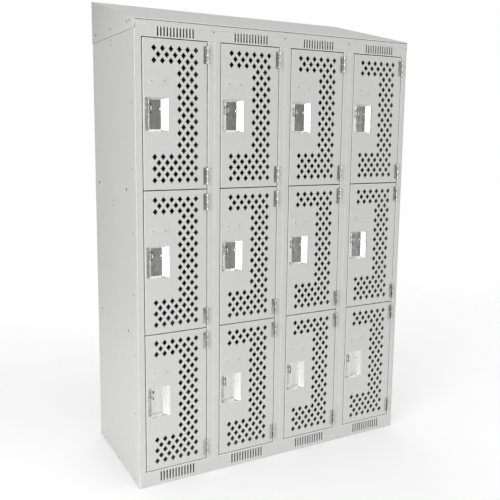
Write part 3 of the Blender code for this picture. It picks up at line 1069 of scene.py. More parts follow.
@dataclass(frozen=True)
class HingeSizes:
    """The five-knuckle butt hinges."""

    height: float = 63.5 * MM
    from_end: float = 47.0 * MM
    radius: float = 4.0 * MM
    knuckles: int = 5
    clearance: float = 0.25 * MM
    leaf: float = 1.2 * MM
    reach: float = 17.0 * MM
    clear: float = 0.6 * MM
    sides: int = 20

    def barrels(self, recipes: Recipes, finish: bpy.types.Material, places: list[Vector], on_door: bool) -> bpy.types.Mesh:
        """The knuckles of one side of some hinges.

        Args:
            recipes: the geometry-node trees.
            finish: their material.
            places: the lower end of each hinge's pin.
            on_door: whether these are the door's knuckles.

        Returns:
            The mesh.
        """
        pitch = self.height / self.knuckles
        lift = Vector((0, 0, (pitch if on_door else 0.0) + self.clearance))
        base = spots("pins", [(place + lift, Vector((0, 0, 1))) for place in places])
        return recipes.knuckles.mesh(
            "knuckles",
            base,
            {
                "Finish": finish,
                "Count": 2 if on_door else 3,
                "Spacing": 2 * pitch,
                "Length": pitch - 2 * self.clearance,
                "Radius": self.radius,
                "Sides": self.sides,
            },
        )

    def leaves(self, places: list[Vector], front: float, side: int) -> Shell:
        """The flat leaf plates on one side of some hinges.

        Args:
            places: the lower end of each hinge's pin.
            front: the Y of the painted face that they lie on.
            side: -1 for the door's leaves and 1 for the frame's.

        Returns:
            The shells.
        """
        shell = Shell()
        half = ((self.reach - self.clear) / 2, self.height / 2)
        for place in places:
            middle = place.x + side * (self.clear + half[0])
            shell.add(*plate((middle, place.z + half[1]), half, 2.2 * MM, front - self.leaf, front + 0.3 * MM, 0.5 * MM))
        return shell


@dataclass(frozen=True)
class LockerDoor:
    """A perforated door: a folded pan, its number-plate holder and its half of two hinges."""

    bank: Bank
    width: float = 248.0 * MM
    height: float = 533.4 * MM
    depth: float = 16.0 * MM
    sheet: float = 1.2 * MM
    bend: float = 1.9 * MM
    corner: float = 2.0 * MM
    trim: float = 0.7 * MM
    flange: float = 11.0 * MM
    hole: Point = (19.4 * MM, 23.8 * MM)
    hole_pitch: float = 32.06 * MM
    row_rise: float = 21.13 * MM
    rows: int = 23
    holes_across: int = 6
    pattern_x: float = 122.85 * MM
    pattern_top: float = 33.5 * MM
    plate_centre: Point = (57.7 * MM, 386.5 * MM)
    plate_half: Point = (34.9 * MM, 13.6 * MM)
    plate_pins: float = 24.0 * MM
    cup_left: float = 7.6 * MM
    cup_base: float = 210.0 * MM
    cup_size: Point = (89.0 * MM, 120.0 * MM)
    cup_corner: float = 4.0 * MM
    hinge: HingeSizes = HingeSizes()

    def pan(self) -> tuple[list[Vector], list[Face]]:
        """The folded pan before it is punched.

        Returns:
            The vertices and faces of a closed shell, from the door's lower left corner.
        """
        centre = (self.width / 2, self.height / 2)
        r, t, hold, steps = self.bend, self.sheet, 0.4 * MM, 4
        profile: list[Point] = [(r + hold, 0.0)]
        arcs = [((r, r), r, 270, 180), ((r, self.depth - r), r, 180, 90)]
        for (cx, cy), radius, start, stop in arcs:
            for step in range(steps + 1):
                angle = math.radians(start + (stop - start) * step / steps)
                profile.append((cx + radius * math.cos(angle), cy + radius * math.sin(angle)))
            if stop == 180:
                profile.append((0.0, r + hold))
                profile.append((0.0, self.depth - r - hold))
        profile += [(r + hold, self.depth), (self.flange, self.depth), (self.flange, self.depth - t), (r + hold, self.depth - t)]
        inner = [((r, self.depth - r), r - t, 90, 180), ((r, r), r - t, 180, 270)]
        for (cx, cy), radius, start, stop in inner:
            for step in range(steps + 1):
                angle = math.radians(start + (stop - start) * step / steps)
                profile.append((cx + radius * math.cos(angle), cy + radius * math.sin(angle)))
            if start == 90:
                profile.append((t, self.depth - r - hold))
                profile.append((t, r + hold))
        profile.append((r + hold, t))
        rings = []
        for inset, y in profile:
            size = (centre[0] - self.trim - inset, centre[1] - self.trim - inset)
            rings.append(rounded_ring(centre, size, max(self.corner - inset, 0.15 * MM), y))
        return lofted(rings)

    def punched(self, recipes: Recipes, finish: bpy.types.Material) -> bpy.types.Mesh:
        """The pan with its diamonds and the opening for the cup.

        Args:
            recipes: the geometry-node trees.
            finish: its material.

        Returns:
            The mesh.
        """
        half = (self.cup_size[0] / 2, self.cup_size[1] / 2)
        middle = (self.cup_left + half[0], self.cup_base + half[1])
        rings = [rounded_ring(middle, half, self.cup_corner, y) for y in (-4.0 * MM, 4.0 * MM)]
        opening = shown("cup opening", Shell().add(*lofted(rings)).mesh("cup opening"))
        rise = (self.rows - 1) * self.row_rise
        made = recipes.perforations.mesh(
            "door pan",
            Shell().add(*self.pan()).mesh("pan", finish),
            {
                "Finish": finish,
                "Opening": opening,
                "Hole Width": self.hole[0],
                "Hole Height": self.hole[1],
                "Pitch": self.hole_pitch,
                "Row Rise": self.row_rise,
                "Columns": self.holes_across,
                "Rows": self.rows,
                "Plain Columns": 3,
                "Plain Rows Start": 5,
                "Plain Rows End": 19,
                "Pattern Centre": (self.pattern_x, 0.0, self.height - self.pattern_top - rise / 2),
                "Cut Depth": 8.0 * MM,
            },
            plain_front=True,
        )
        bpy.data.objects.remove(opening)
        return made

    def pin_bottoms(self, body: str) -> list[Vector]:
        """The lower ends of the door's two hinges."""
        pin = self.bank.pins[body]
        base = self.bank.bases[Tier(body.split("_")[2])]
        lows = (self.hinge.from_end, self.height - self.hinge.from_end)
        return [Vector((pin.x, pin.y, base + low - self.hinge.height / 2)) for low in lows]

    def build(self, recipes: Recipes, finishes: Finishes, fitter: Fitter) -> None:
        """Builds the twelve doors.

        Args:
            recipes: the geometry-node trees.
            finishes: the materials.
            fitter: what hands the pieces to the frame.
        """
        pan = self.punched(recipes, finishes.door)
        holder = Shell().add(*plate(self.plate_centre, self.plate_half, 1.6 * MM, -1.2 * MM, 0.2 * MM, 0.7 * MM))
        holder_mesh = holder.mesh("holder", finishes.door)
        x, z = self.plate_centre
        pins = [(Vector((x + side * self.plate_pins, -1.1 * MM, z)), Vector((0, -1, 0))) for side in (-1, 1)]
        head = Head(1.9 * MM, 0.7 * MM, 2.4 * MM, 0.3 * MM, 14)
        rivets = head.mesh(recipes, "rivets", pins, finishes.fastener)
        for number, tier in self.bank.doors():
            tag = f"{number}_{tier.value}"
            body = f"door_{tag}"
            corner = self.bank.corner(number, tier)
            fitter.fit(copied(f"door_panel_{tag}", pan, corner), body, Slot.DOOR, body)
            fitter.fit(copied(f"number_plate_{tag}", holder_mesh, corner), body, Slot.DOOR)
            fitter.fit(copied(f"number_plate_rivets_{tag}", rivets, corner), body, Slot.STEEL)
            places = self.pin_bottoms(body)
            leaves = self.hinge.leaves(places, self.bank.front, -1).mesh("leaves", finishes.hinge)
            fitter.fit(shown(f"door_hinge_leaves_{tag}", leaves), body, Slot.STEEL, body)
            # The door's two knuckles take the darker hinge steel and the frame's three the brighter staple steel:
            # painted shade and highlight on alternate knuckles of one hinge.
            barrels = self.hinge.barrels(recipes, finishes.hinge, places, True)
            fitter.fit(shown(f"door_hinge_knuckles_{tag}", barrels), body, Slot.DOOR, body)


@dataclass(frozen=True)
class HandleCup:
    """The drawn steel recess that the fingers and the padlock sit in."""

    door: LockerDoor
    sheet: float = 0.9 * MM
    lip: float = 3.6 * MM
    depth: float = 20.0 * MM
    side_slope: float = 21.5 * MM
    end_slope: float = 5.0 * MM
    side_bend: float = 9.0 * MM
    end_bend: float = 3.6 * MM
    slot: Point = (9.0 * MM, 36.0 * MM)
    slot_offset: float = 26.5 * MM
    slot_rise: float = 22.0 * MM

    def inset(self, above: float, slope: float, bend: float) -> float:
        """How far in a wall stands.

        Args:
            above: the height over the cup's floor.
            slope: how far the wall leans over its whole depth.
            bend: the radius between the wall and the floor.

        Returns:
            The distance from the mouth's edge.
        """
        lean = math.atan2(self.depth, slope)
        if above > bend * (1 - math.cos(lean)):
            return slope * (1 - above / self.depth)
        return slope + bend * math.tan(lean / 2) - math.sqrt(max(2 * bend * above - above * above, 0.0))

    def rings(self) -> list[list[Vector]]:
        """The cup's section as rings, from the lip behind the door in to the slot and back outside.

        Returns:
            The rings, the last of which joins the first.
        """
        half = (self.door.cup_size[0] / 2, self.door.cup_size[1] / 2)
        centre = (self.door.cup_left + half[0], self.door.cup_base + half[1])
        face = self.door.sheet + 0.3 * MM
        made = []

        def ring(inset: Point, y: float, corner: float) -> list[Vector]:
            return rounded_ring(centre, (half[0] - inset[0], half[1] - inset[1]), corner, y, 4)

        soft = 2.2 * MM
        for outside in (False, True):
            lift = self.sheet if outside else 0.0
            grow = 1.2 * MM if outside else 0.0
            rows = [ring((-self.lip, -self.lip), face + lift, self.door.cup_corner + self.lip)]
            for share in (0.0, 0.3, 0.65, 1.0):
                wall = share * 0.1
                y = face + lift + soft * share * share * 0.8
                inset = (self.side_slope * wall - soft * (1 - share) * 0.5 - grow, self.end_slope * wall - soft * (1 - share) * 0.5 - grow)
                rows.append(ring(inset, y, self.door.cup_corner))
            for above in (10.0, 5.0, 3.2, 2.4, 1.7, 1.1, 0.6, 0.25, 0.06, 0.0):
                height = above * MM
                side, end = self.inset(height, self.side_slope, self.side_bend), self.inset(height, self.end_slope, self.end_bend)
                rows.append(ring((side - grow, end - grow), face + lift + self.depth - height, 3.4 * MM))
            slot_centre = (self.door.cup_left + self.slot_offset, centre[1] + self.slot_rise)
            rows.append(rounded_ring(slot_centre, (self.slot[0] / 2, self.slot[1] / 2), 4.2 * MM, face + lift + self.depth, 4))
            made += rows if not outside else rows[::-1]
        return made

    def build(self, recipes: Recipes, finishes: Finishes, fitter: Fitter) -> None:
        """Builds the twelve cups, each with the small catch on its right wall.

        Args:
            recipes: the geometry-node trees.
            finishes: the materials.
            fitter: what hands the pieces to the frame.
        """
        cup = Shell().add(*lofted(self.rings(), closed=True)).mesh("cup", finishes.cup, 50.0)
        centre_z = self.door.cup_base + self.door.cup_size[1] / 2 + self.slot_rise - 2.0 * MM
        foot = self.door.cup_left + self.door.cup_size[0] - self.side_slope
        catch = [(Vector((foot - 1.0 * MM, self.door.sheet + self.depth - 0.6 * MM, centre_z)), Vector((-0.35, -0.93, 0.0)))]
        head = Head(4.2 * MM, 1.9 * MM, 4.8 * MM, 0.6 * MM, 20)
        bump = head.mesh(recipes, "catch", catch, finishes.cup)
        for number, tier in self.door.bank.doors():
            tag = f"{number}_{tier.value}"
            corner = self.door.bank.corner(number, tier)
            fitter.fit(copied(f"cup_{tag}", cup, corner), f"door_{tag}", Slot.STEEL, f"handle_cup_{tag}")
            fitter.fit(copied(f"cup_catch_{tag}", bump, corner), f"door_{tag}", Slot.STEEL)


@dataclass(frozen=True)
class DoorFrame:
    """The folded posts between the doors, with the fixed half of the hinges and the padlock staples."""

    bank: Bank
    door: LockerDoor
    cup: HandleCup
    foot: float = 55.8 * MM
    head: float = 1671.8 * MM
    back_leg: float = 19.7 * MM
    stop: float = 12.0 * MM
    wing: float = 58.0 * MM
    fold: Fold = Fold()
    staple_radius: float = 2.1 * MM

    def post(self, edge: float, inward: int, at_end: bool) -> Shell:
        """One post.

        Args:
            edge: the X of the column's edge.
            inward: 1 if its door is on the right, -1 if on the left.
            at_end: whether it closes the bank and carries the wing round the side.

        Returns:
            The shell, with the wing as a second one.
        """
        front = self.bank.front
        inner = edge + inward * self.bank.post
        outer = edge + inward * (1.0 * MM if at_end else 0.15 * MM)
        back = front + self.back_leg
        path = [
            (outer, back - 4.0 * MM),
            (outer, front),
            (inner, front),
            (inner, back - self.fold.sheet),
            (inner + inward * self.stop, back - self.fold.sheet),
        ]
        shell = Shell().add(*self.fold.run(path, inward, 2, self.foot, self.head))
        if at_end:
            tuck = Fold(bend=2.6 * MM, steps=5)
            wing = [(edge, front + self.wing), (edge, front), (edge + inward * 3.4 * MM, front)]
            shell.add(*tuck.run(wing, inward, 2, 0.0, self.bank.side_top))
        return shell

    def staple(self) -> tuple[list[Vector], list[Face]]:
        """The bent rod of a padlock staple.

        Returns:
            The vertices and faces of a closed shell, from the door's lower left corner.
        """
        x = self.door.cup_left + self.cup.slot_offset
        z = self.door.cup_base + self.door.cup_size[1] / 2 + self.cup.slot_rise
        root = self.door.sheet + self.cup.depth + 2.6 * MM
        path = [Vector((x, root + 2.0 * MM, z - 9.6 * MM))]
        for step in range(17):
            angle = -math.pi / 2 + math.pi * step / 16
            reach = 15.6 * MM * math.cos(angle) ** 0.8 if 0 < step < 16 else 0.0
            path.append(Vector((x, root - reach, z + 9.9 * MM * math.sin(angle))))
        path.append(Vector((x, root + 2.0 * MM, z + 9.6 * MM)))
        return tube(path, self.staple_radius, 12)

    def build(self, recipes: Recipes, finishes: Finishes, fitter: Fitter) -> None:
        """Builds the posts, the frame's half of the hinges, and the staples.

        Args:
            recipes: the geometry-node trees.
            finishes: the materials.
            fitter: what hands the pieces to the frame.
        """
        staple = Shell().add(*self.staple()).mesh("staple", finishes.staple, 60.0)
        for number in range(1, self.bank.columns + 1):
            latch = self.post(self.bank.column(number), 1, number == 1)
            fitter.fit(
                shown(f"frame_post_left_{number}", latch.mesh("post", finishes.frame)), "cabinet", Slot.FRAME, f"latch_post_{number}"
            )
            node = f"hinge_post_{number}"
            hung = self.post(self.bank.column(number + 1), -1, number == self.bank.columns)
            fitter.fit(shown(f"frame_post_right_{number}", hung.mesh("post", finishes.frame)), "cabinet", Slot.FRAME, node)
            places = [place for tier in Tier for place in self.door.pin_bottoms(f"door_{number}_{tier.value}")]
            leaves = self.door.hinge.leaves(places, self.bank.front, 1).mesh("leaves", finishes.frame)
            fitter.fit(shown(f"frame_hinge_leaves_{number}", leaves), "cabinet", Slot.FRAME, node)
            # The frame's knuckles take the brighter staple steel: painted highlight on alternate knuckles, against the
            # door's darker hinge steel.
            barrels = self.door.hinge.barrels(recipes, finishes.staple, places, False)
            fitter.fit(shown(f"frame_hinge_knuckles_{number}", barrels), "cabinet", Slot.FRAME, node)
            pins = self.pin_shells(places).mesh("pins", finishes.staple)
            fitter.fit(shown(f"hinge_pins_{number}", pins), "cabinet", Slot.STEEL, node)
            heads = []
            for place in places:
                for rise in (0.08, 0.5, 0.92):
                    z = place.z + rise * self.door.hinge.height
                    heads.append((Vector((place.x + 13.2 * MM, self.bank.front - 1.15 * MM, z)), Vector((0, -1, 0))))
            head = Head(1.5 * MM, 0.6 * MM, 1.9 * MM, 0.3 * MM, 12)
            rivets = head.mesh(recipes, "hinge rivets", heads, finishes.hinge)
            fitter.fit(shown(f"hinge_rivets_{number}", rivets), "cabinet", Slot.STEEL)
            for tier in Tier:
                piece = copied(f"padlock_staple_{number}_{tier.value}", staple, self.bank.corner(number, tier))
                fitter.fit(piece, "cabinet", Slot.STEEL, f"latch_post_{number}")
                bracket = self.bracket(self.bank.corner(number, tier)).mesh("bracket", finishes.staple)
                fitter.fit(shown(f"staple_bracket_{number}_{tier.value}", bracket), "cabinet", Slot.STEEL, f"latch_post_{number}")

    def bracket(self, corner: Vector) -> Shell:
        """The plate behind the cup that carries the staple from the post's stop.

        Args:
            corner: the door's lower left corner.

        Returns:
            The shell.
        """
        z = corner.z + self.door.cup_base + self.door.cup_size[1] / 2 + self.cup.slot_rise
        left = corner.x - self.bank.gap + 1.0 * MM
        right = corner.x + self.door.cup_left + self.cup.slot_offset + 3.0 * MM
        face = corner.y + self.door.sheet + self.cup.depth + 2.4 * MM
        middle = ((left + right) / 2, z)
        half = ((right - left) / 2, 9.5 * MM)
        return Shell().add(*plate(middle, half, 2.0 * MM, face, face + 2.2 * MM, 0.4 * MM))

    def pin_shells(self, places: list[Vector]) -> Shell:
        """The pins that show as small buttons at both ends of each barrel.

        Args:
            places: the lower end of each hinge's pin.

        Returns:
            The shells.
        """
        shell = Shell()
        for place in places:
            low, high = place.z - 0.7 * MM, place.z + self.door.hinge.height + 0.7 * MM
            steps = [low, low + 0.4 * MM, high - 0.4 * MM, high]
            rings = []
            for z, radius in zip(steps, (1.5 * MM, 2.1 * MM, 2.1 * MM, 1.5 * MM)):
                angles = [2 * math.pi * k / 12 for k in range(12)]
                rings.append([Vector((place.x + radius * math.cos(a), place.y + radius * math.sin(a), z)) for a in angles])
            shell.add(*lofted(rings))
        return shell


@dataclass(frozen=True)
class LouvredStrips:
    """The header over each column and the sill under it."""

    bank: Bank
    count: int = 12
    pitch: float = 12.28 * MM
    slot_width: float = 6.8 * MM
    header: Point = (1672.1 * MM, 1711.0 * MM)
    sill: Point = (0.0, 60.0 * MM)
    header_slots: Point = (1676.5 * MM, 1708.5 * MM)
    sill_slots: Point = (14.5 * MM, 53.0 * MM)
    back_leg: float = 17.7 * MM
    rise: float = 1.9 * MM
    fold: Fold = Fold()

    def lip(self, span: Point) -> Shell:
        """A pressed lip on the left of a slot, open towards the slot and closed at both ends.

        Args:
            span: the slot's lower and upper end.

        Returns:
            The shell, from the middle of the slot.
        """
        across, up = 7, 13
        half = (span[1] - span[0]) / 2
        left, right = -self.pitch + self.slot_width / 2 + 1.2 * MM, -self.slot_width / 2 + 0.4 * MM
        skins = []
        for thick in (0.0, 0.8 * MM):
            for j in range(up):
                t = -math.cos(math.pi * j / (up - 1))
                swell = (1 - t**6) ** 0.5 if abs(t) < 1 else 0.0
                for i in range(across):
                    s = i / (across - 1)
                    y = -self.rise * math.sin(math.pi / 2 * s) * swell + thick - 0.05 * MM
                    skins.append(Vector((left + (right - left) * s, y, t * half)))
        size = across * up
        faces: list[Face] = []
        for j in range(up - 1):
            for i in range(across - 1):
                a = j * across + i
                faces.append((a, a + 1, a + across + 1, a + across))
                faces.append((size + a, size + a + across, size + a + across + 1, size + a + 1))
        rim = [(0, i) for i in range(across)] + [(j, across - 1) for j in range(1, up)]
        rim += [(up - 1, i) for i in range(across - 2, -1, -1)] + [(j, 0) for j in range(up - 2, 0, -1)]
        loop = [j * across + i for j, i in rim]
        for a, b in zip(loop, loop[1:] + loop[:1]):
            faces.append((a, size + a, size + b, b))
        return Shell().add(skins, faces)

    def strip(self, recipes: Recipes, finish: bpy.types.Material, number: int, zone: Point, slots: Point) -> bpy.types.Mesh:
        """One louvred channel.

        Args:
            recipes: the geometry-node trees.
            finish: its material.
            number: the column.
            zone: its lower and upper edge.
            slots: the slots' lower and upper end.

        Returns:
            The mesh.
        """
        ends = [self.bank.column(number) + 0.1 * MM, self.bank.column(number + 1) - 0.1 * MM]
        if number == 1:
            ends[0] += 3.4 * MM
        if number == self.bank.columns:
            ends[1] -= 3.4 * MM
        front, back = self.bank.front, self.bank.front + self.back_leg
        path = [(back, zone[0]), (front, zone[0]), (front, zone[1]), (back, zone[1])]
        channel = Shell().add(*self.fold.run(path, -1, 0, *ends))
        if zone[0] == 0.0:
            channel = self.notched(number, ends)
        lip = shown("louvre lip", self.lip(slots).mesh("lip"))
        middle = self.bank.column(number) + self.bank.pitch / 2
        first = (middle - (self.count - 1) / 2 * self.pitch, front, (slots[0] + slots[1]) / 2)
        made = recipes.louvres.mesh(
            "strip",
            channel.mesh("channel", finish),
            {
                "Finish": finish,
                "Lip": lip,
                "Count": self.count,
                "Pitch": self.pitch,
                "First": first,
                "Slot Size": (self.slot_width, 8.0 * MM, slots[1] - slots[0]),
            },
            plain_front=True,
        )
        bpy.data.objects.remove(lip)
        return made

    def notched(self, number: int, ends: list[float]) -> Shell:
        """The sill as three lengths, lower at both ends where the posts stand on it.

        Args:
            number: the column.
            ends: its left and right end.

        Returns:
            The shells, a hair apart so that the slots cut cleanly.
        """
        front, back = self.bank.front, self.bank.front + self.back_leg
        inner = [self.bank.column(number) + self.bank.post + 0.3 * MM, self.bank.column(number + 1) - self.bank.post - 0.3 * MM]
        shell = Shell()
        for start, stop, top in (
            (ends[0], inner[0] - 0.03 * MM, 55.5 * MM),
            (inner[0], inner[1], self.sill[1]),
            (inner[1] + 0.03 * MM, ends[1], 55.5 * MM),
        ):
            path = [(back, 0.0), (front, 0.0), (front, top), (back, top)]
            shell.add(*self.fold.run(path, -1, 0, start, stop))
        return shell

    def build(self, recipes: Recipes, finishes: Finishes, fitter: Fitter) -> None:
        """Builds the headers and the sills, and the screw at each column line.

        Args:
            recipes: the geometry-node trees.
            finishes: the materials.
            fitter: what hands the pieces to the frame.
        """
        for number in range(1, self.bank.columns + 1):
            head = self.strip(recipes, finishes.frame, number, self.header, self.header_slots)
            fitter.fit(shown(f"header_strip_{number}", head), "cabinet", Slot.FRAME, f"header_{number}")
            sill = self.strip(recipes, finishes.frame, number, self.sill, self.sill_slots)
            fitter.fit(shown(f"sill_strip_{number}", sill), "cabinet", Slot.FRAME, f"sill_{number}")
        heads = []
        for number in range(2, self.bank.columns + 1):
            heads.append((Vector((self.bank.column(number) - 3.0 * MM, self.bank.front, 1705.0 * MM)), Vector((0, -1, 0))))
        head = Head(2.6 * MM, 0.8 * MM, 3.1 * MM, 0.4 * MM, 16)
        rivets = head.mesh(recipes, "header rivets", heads, finishes.fastener)
        fitter.fit(shown("header_rivets", rivets), "cabinet", Slot.STEEL)


@dataclass(frozen=True)
class Hood:
    """The sloping cover in two lengths, its fascia, and the plate at each end."""

    bank: Bank
    base: float = 1699.5 * MM
    fascia: float = 1711.5 * MM
    front_top: float = 1733.0 * MM
    back_top: float = 1867.0 * MM
    inset: float = 1.5 * MM
    seam: float = 0.5 * MM
    fold: Fold = Fold()

    def cover(self) -> Shell:
        """The slope, folded down at the front as a drip edge and at the back as the rear wall.

        Returns:
            The shells: both lengths of the cover, and the strap under their seam.
        """
        front, back = self.bank.front, self.bank.back
        path = [
            (front - 0.4 * MM, self.front_top - 3.4 * MM),
            (front - 0.4 * MM, self.front_top),
            (back, self.back_top),
            (back, self.base),
        ]
        seam = self.bank.column(2)
        shell = Shell()
        for start, stop in ((self.bank.left + self.inset, seam - self.seam / 2), (seam + self.seam / 2, self.bank.right - self.inset)):
            shell.add(*self.fold.run(path, -1, 0, start, stop))
        rise = (self.back_top - self.front_top) / (back - front)
        under = [(front + 12.0 * MM, self.front_top + 12.0 * MM * rise - 1.6 * MM), (back - 12.0 * MM, self.back_top - 12.0 * MM * rise - 1.6 * MM)]
        shell.add(*self.fold.run(under, -1, 0, seam - 14.0 * MM, seam + 14.0 * MM))
        return shell

    def front_strip(self) -> Shell:
        """The fascia, hemmed at its lower edge and tucked under the drip edge.

        Returns:
            The shell.
        """
        front = self.bank.front
        path = [
            (front + 14.0 * MM, self.fascia),
            (front, self.fascia),
            (front, self.front_top - 5.0 * MM),
            (front + 10.0 * MM, self.front_top - 5.0 * MM),
        ]
        return Shell().add(*self.fold.run(path, -1, 0, self.bank.left + self.inset, self.bank.right - self.inset))

    def end(self, hand: Hand) -> Shell:
        """The wedge-shaped end plate with softened edges.

        Args:
            hand: which end it closes.

        Returns:
            The shell.
        """
        face = self.bank.left if hand is Hand.LEFT else self.bank.right
        corners = [
            (self.bank.front, self.base),
            (self.bank.back, self.base),
            (self.bank.back, self.back_top),
            (self.bank.front, self.front_top),
        ]
        middle = Vector((sum(c[0] for c in corners) / 4, sum(c[1] for c in corners) / 4))
        rings = []
        for inset, depth in ((0.6 * MM, 0.0), (0.2 * MM, 0.15 * MM), (0.0, 0.5 * MM), (0.0, 1.2 * MM)):
            ring = []
            for y, z in corners:
                away = Vector((y, z)) - middle
                ring.append(Vector((face - hand.value * depth, y - math.copysign(inset, away.x), z - math.copysign(inset, away.y))))
            rings.append(ring)
        return Shell().add(*lofted(rings))

    def build(self, recipes: Recipes, finishes: Finishes, fitter: Fitter) -> None:
        """Builds the hood and its screws.

        Args:
            recipes: the geometry-node trees.
            finishes: the materials.
            fitter: what hands the pieces to the frame.
        """
        fitter.fit(shown("hood_slope", self.cover().mesh("slope", finishes.frame)), "cabinet", Slot.FRAME, "hood_cover")
        fitter.fit(shown("hood_fascia", self.front_strip().mesh("fascia", finishes.frame)), "cabinet", Slot.FRAME, "hood_cover")
        heads = []
        for hand in Hand:
            name = hand.name.lower()
            piece = shown(f"hood_end_plate_{name}", self.end(hand).mesh("end", finishes.panel))
            fitter.fit(piece, "cabinet", Slot.PANEL, f"hood_end_{name}")
            face = self.bank.left if hand is Hand.LEFT else self.bank.right
            for depth, z in ((51, 1729), (80, 1728), (281, 1727), (479, 1727)):
                heads.append((Vector((face, self.bank.front + depth * MM, z * MM)), Vector((hand.value, 0, 0))))
        head = Head(3.6 * MM, 1.6 * MM, 4.6 * MM, 0.6 * MM, 16)
        screws = head.mesh(recipes, "hood screws", heads, finishes.fastener)
        fitter.fit(shown("hood_screws", screws), "cabinet", Slot.STEEL)


@dataclass(frozen=True)
class SidePanels:
    """The folded side panels with their rivets and bolts."""

    bank: Bank
    inset: float = 1.5 * MM
    flange: float = 14.0 * MM
    fold_front: float = 20.7 * MM
    fold: Fold = Fold()

    def panel(self, hand: Hand) -> Shell:
        """One side, folded inwards at the front and the back.

        Args:
            hand: which side it closes.

        Returns:
            The shell.
        """
        inward = -hand.value
        outer = (self.bank.left if hand is Hand.LEFT else self.bank.right) + inward * self.inset
        tip = outer + inward * self.flange
        front = self.bank.front + self.fold_front
        path = [(tip, front), (outer, front), (outer, self.bank.back), (tip, self.bank.back)]
        return Shell().add(*self.fold.run(path, hand.value, 2, 0.0, self.bank.side_top))

    def build(self, recipes: Recipes, finishes: Finishes, fitter: Fitter) -> None:
        """Builds both sides and their fasteners.

        Args:
            recipes: the geometry-node trees.
            finishes: the materials.
            fitter: what hands the pieces to the frame.
        """
        small, large = [], []
        for hand in Hand:
            name = hand.name.lower()
            piece = shown(f"side_sheet_{name}", self.panel(hand).mesh("side", finishes.panel))
            fitter.fit(piece, "cabinet", Slot.PANEL, f"side_panel_{name}")
            wing = self.bank.left if hand is Hand.LEFT else self.bank.right
            face = wing - hand.value * self.inset
            way = Vector((hand.value, 0, 0))
            for z in (287, 516, 747, 978, 1211, 1444):
                small.append((Vector((wing, self.bank.front + 42.0 * MM, z * MM)), way))
                rear = Vector((face - hand.value * 7.0 * MM, self.bank.back, (z - 4) * MM))
                small.append((rear, Vector((0, 1, 0))))
            for z in (1684, 1667, 1074, 1057, 541, 523):
                small.append((Vector((face, self.bank.front + 278.0 * MM, z * MM)), way))
            for depth in (70, 266, 468, 520):
                small.append((Vector((face, self.bank.front + depth * MM, 9.0 * MM)), way))
            for depth in (114, 471):
                for z in (1132, 591.5):
                    large.append((Vector((face, self.bank.front + depth * MM, z * MM)), way))
        head = Head(2.9 * MM, 1.1 * MM, 3.5 * MM, 0.4 * MM, 14)
        rivets = head.mesh(recipes, "side rivets", small, finishes.fastener)
        fitter.fit(shown("side_rivets", rivets), "cabinet", Slot.STEEL)
        head = Head(4.4 * MM, 1.9 * MM, 5.6 * MM, 0.8 * MM, 18)
        bolts = head.mesh(recipes, "shelf bolts", large, finishes.fastener)
        fitter.fit(shown("shelf_bolts", bolts), "cabinet", Slot.STEEL)


@dataclass(frozen=True)
class Interior:
    """What shows when the doors stand open: the coat hooks and the back's rivets, beside the carried-over sheets."""

    bank: Bank
    hook_depth: float = 278.0 * MM
    wire: float = 2.3 * MM

    def hook(self, hand: Hand) -> Shell:
        """A coat hook of two bent rods on a small plate.

        Args:
            hand: 1 if it reaches to the right.

        Returns:
            The shells, from the middle of its plate.
        """
        out = hand.value
        shell = Shell()
        for low, reach, tip in ((-6.0, 26.0, 9.0), (7.0, 38.0, 24.0)):
            points = [
                (0.0, 0.0, low * MM),
                (out * 8.0 * MM, 0.0, (low - 4.0) * MM),
                (out * reach * 0.7 * MM, 0.0, (low - 7.0) * MM),
                (out * reach * MM, 0.0, (low + tip * 0.25) * MM),
                (out * reach * MM, 0.0, (low + tip) * MM),
            ]
            shell.add(*tube(smooth_path(points), self.wire, 8))
        thick = 1.6 * MM
        corners = [(5.5, 14.0), (6.5, 17.0), (-6.5, 17.0), (-5.5, 14.0), (-6.5, -15.0), (6.5, -15.0)]
        outline = [(y * MM, z * MM) for y, z in corners]
        sides = [[Vector((x, y, z)) for y, z in outline] for x in (0.0, out * thick)]
        return shell.add(*lofted(sides))

    def build(self, recipes: Recipes, finishes: Finishes, fitter: Fitter) -> None:
        """Hangs the coat hooks and puts the rivets on the back.

        Args:
            recipes: the geometry-node trees.
            finishes: the materials.
            fitter: what hands the pieces to the frame.
        """
        levels = (1675.0 * MM, 1066.0 * MM, 532.0 * MM)
        hooks = {hand: self.hook(hand).mesh("hook", finishes.hinge, 60.0) for hand in Hand}
        y = self.bank.front + self.hook_depth
        for number in range(1, self.bank.columns + 1):
            walls = {Hand.RIGHT: self.bank.column(number), Hand.LEFT: self.bank.column(number + 1)}
            for hand, wall in walls.items():
                outer = (number == 1 and hand is Hand.RIGHT) or (number == self.bank.columns and hand is Hand.LEFT)
                clear = (2.8 if outer else 0.85) * MM
                for level, z in enumerate(levels, start=1):
                    place = Vector((wall + hand.value * clear, y, z))
                    piece = copied(f"coat_hook_{number}_{hand.name.lower()}_{level}", hooks[hand], place)
                    fitter.fit(piece, "cabinet", Slot.STEEL)
        heads = []
        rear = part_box("back_panel")[1].y
        for number in range(1, self.bank.columns + 2):
            x = self.bank.column(number)
            x += 22.0 * MM if number == 1 else (-22.0 * MM if number == self.bank.columns + 1 else 7.0 * MM)
            for z in (60, 340, 592, 860, 1132, 1400, 1660):
                heads.append((Vector((x, rear, z * MM)), Vector((0, 1, 0))))
        head = Head(2.4 * MM, 0.9 * MM, 3.0 * MM, 0.3 * MM, 12)
        rivets = head.mesh(recipes, "back rivets", heads, finishes.fastener)
        fitter.fit(shown("back_rivets", rivets), "cabinet", Slot.STEEL)


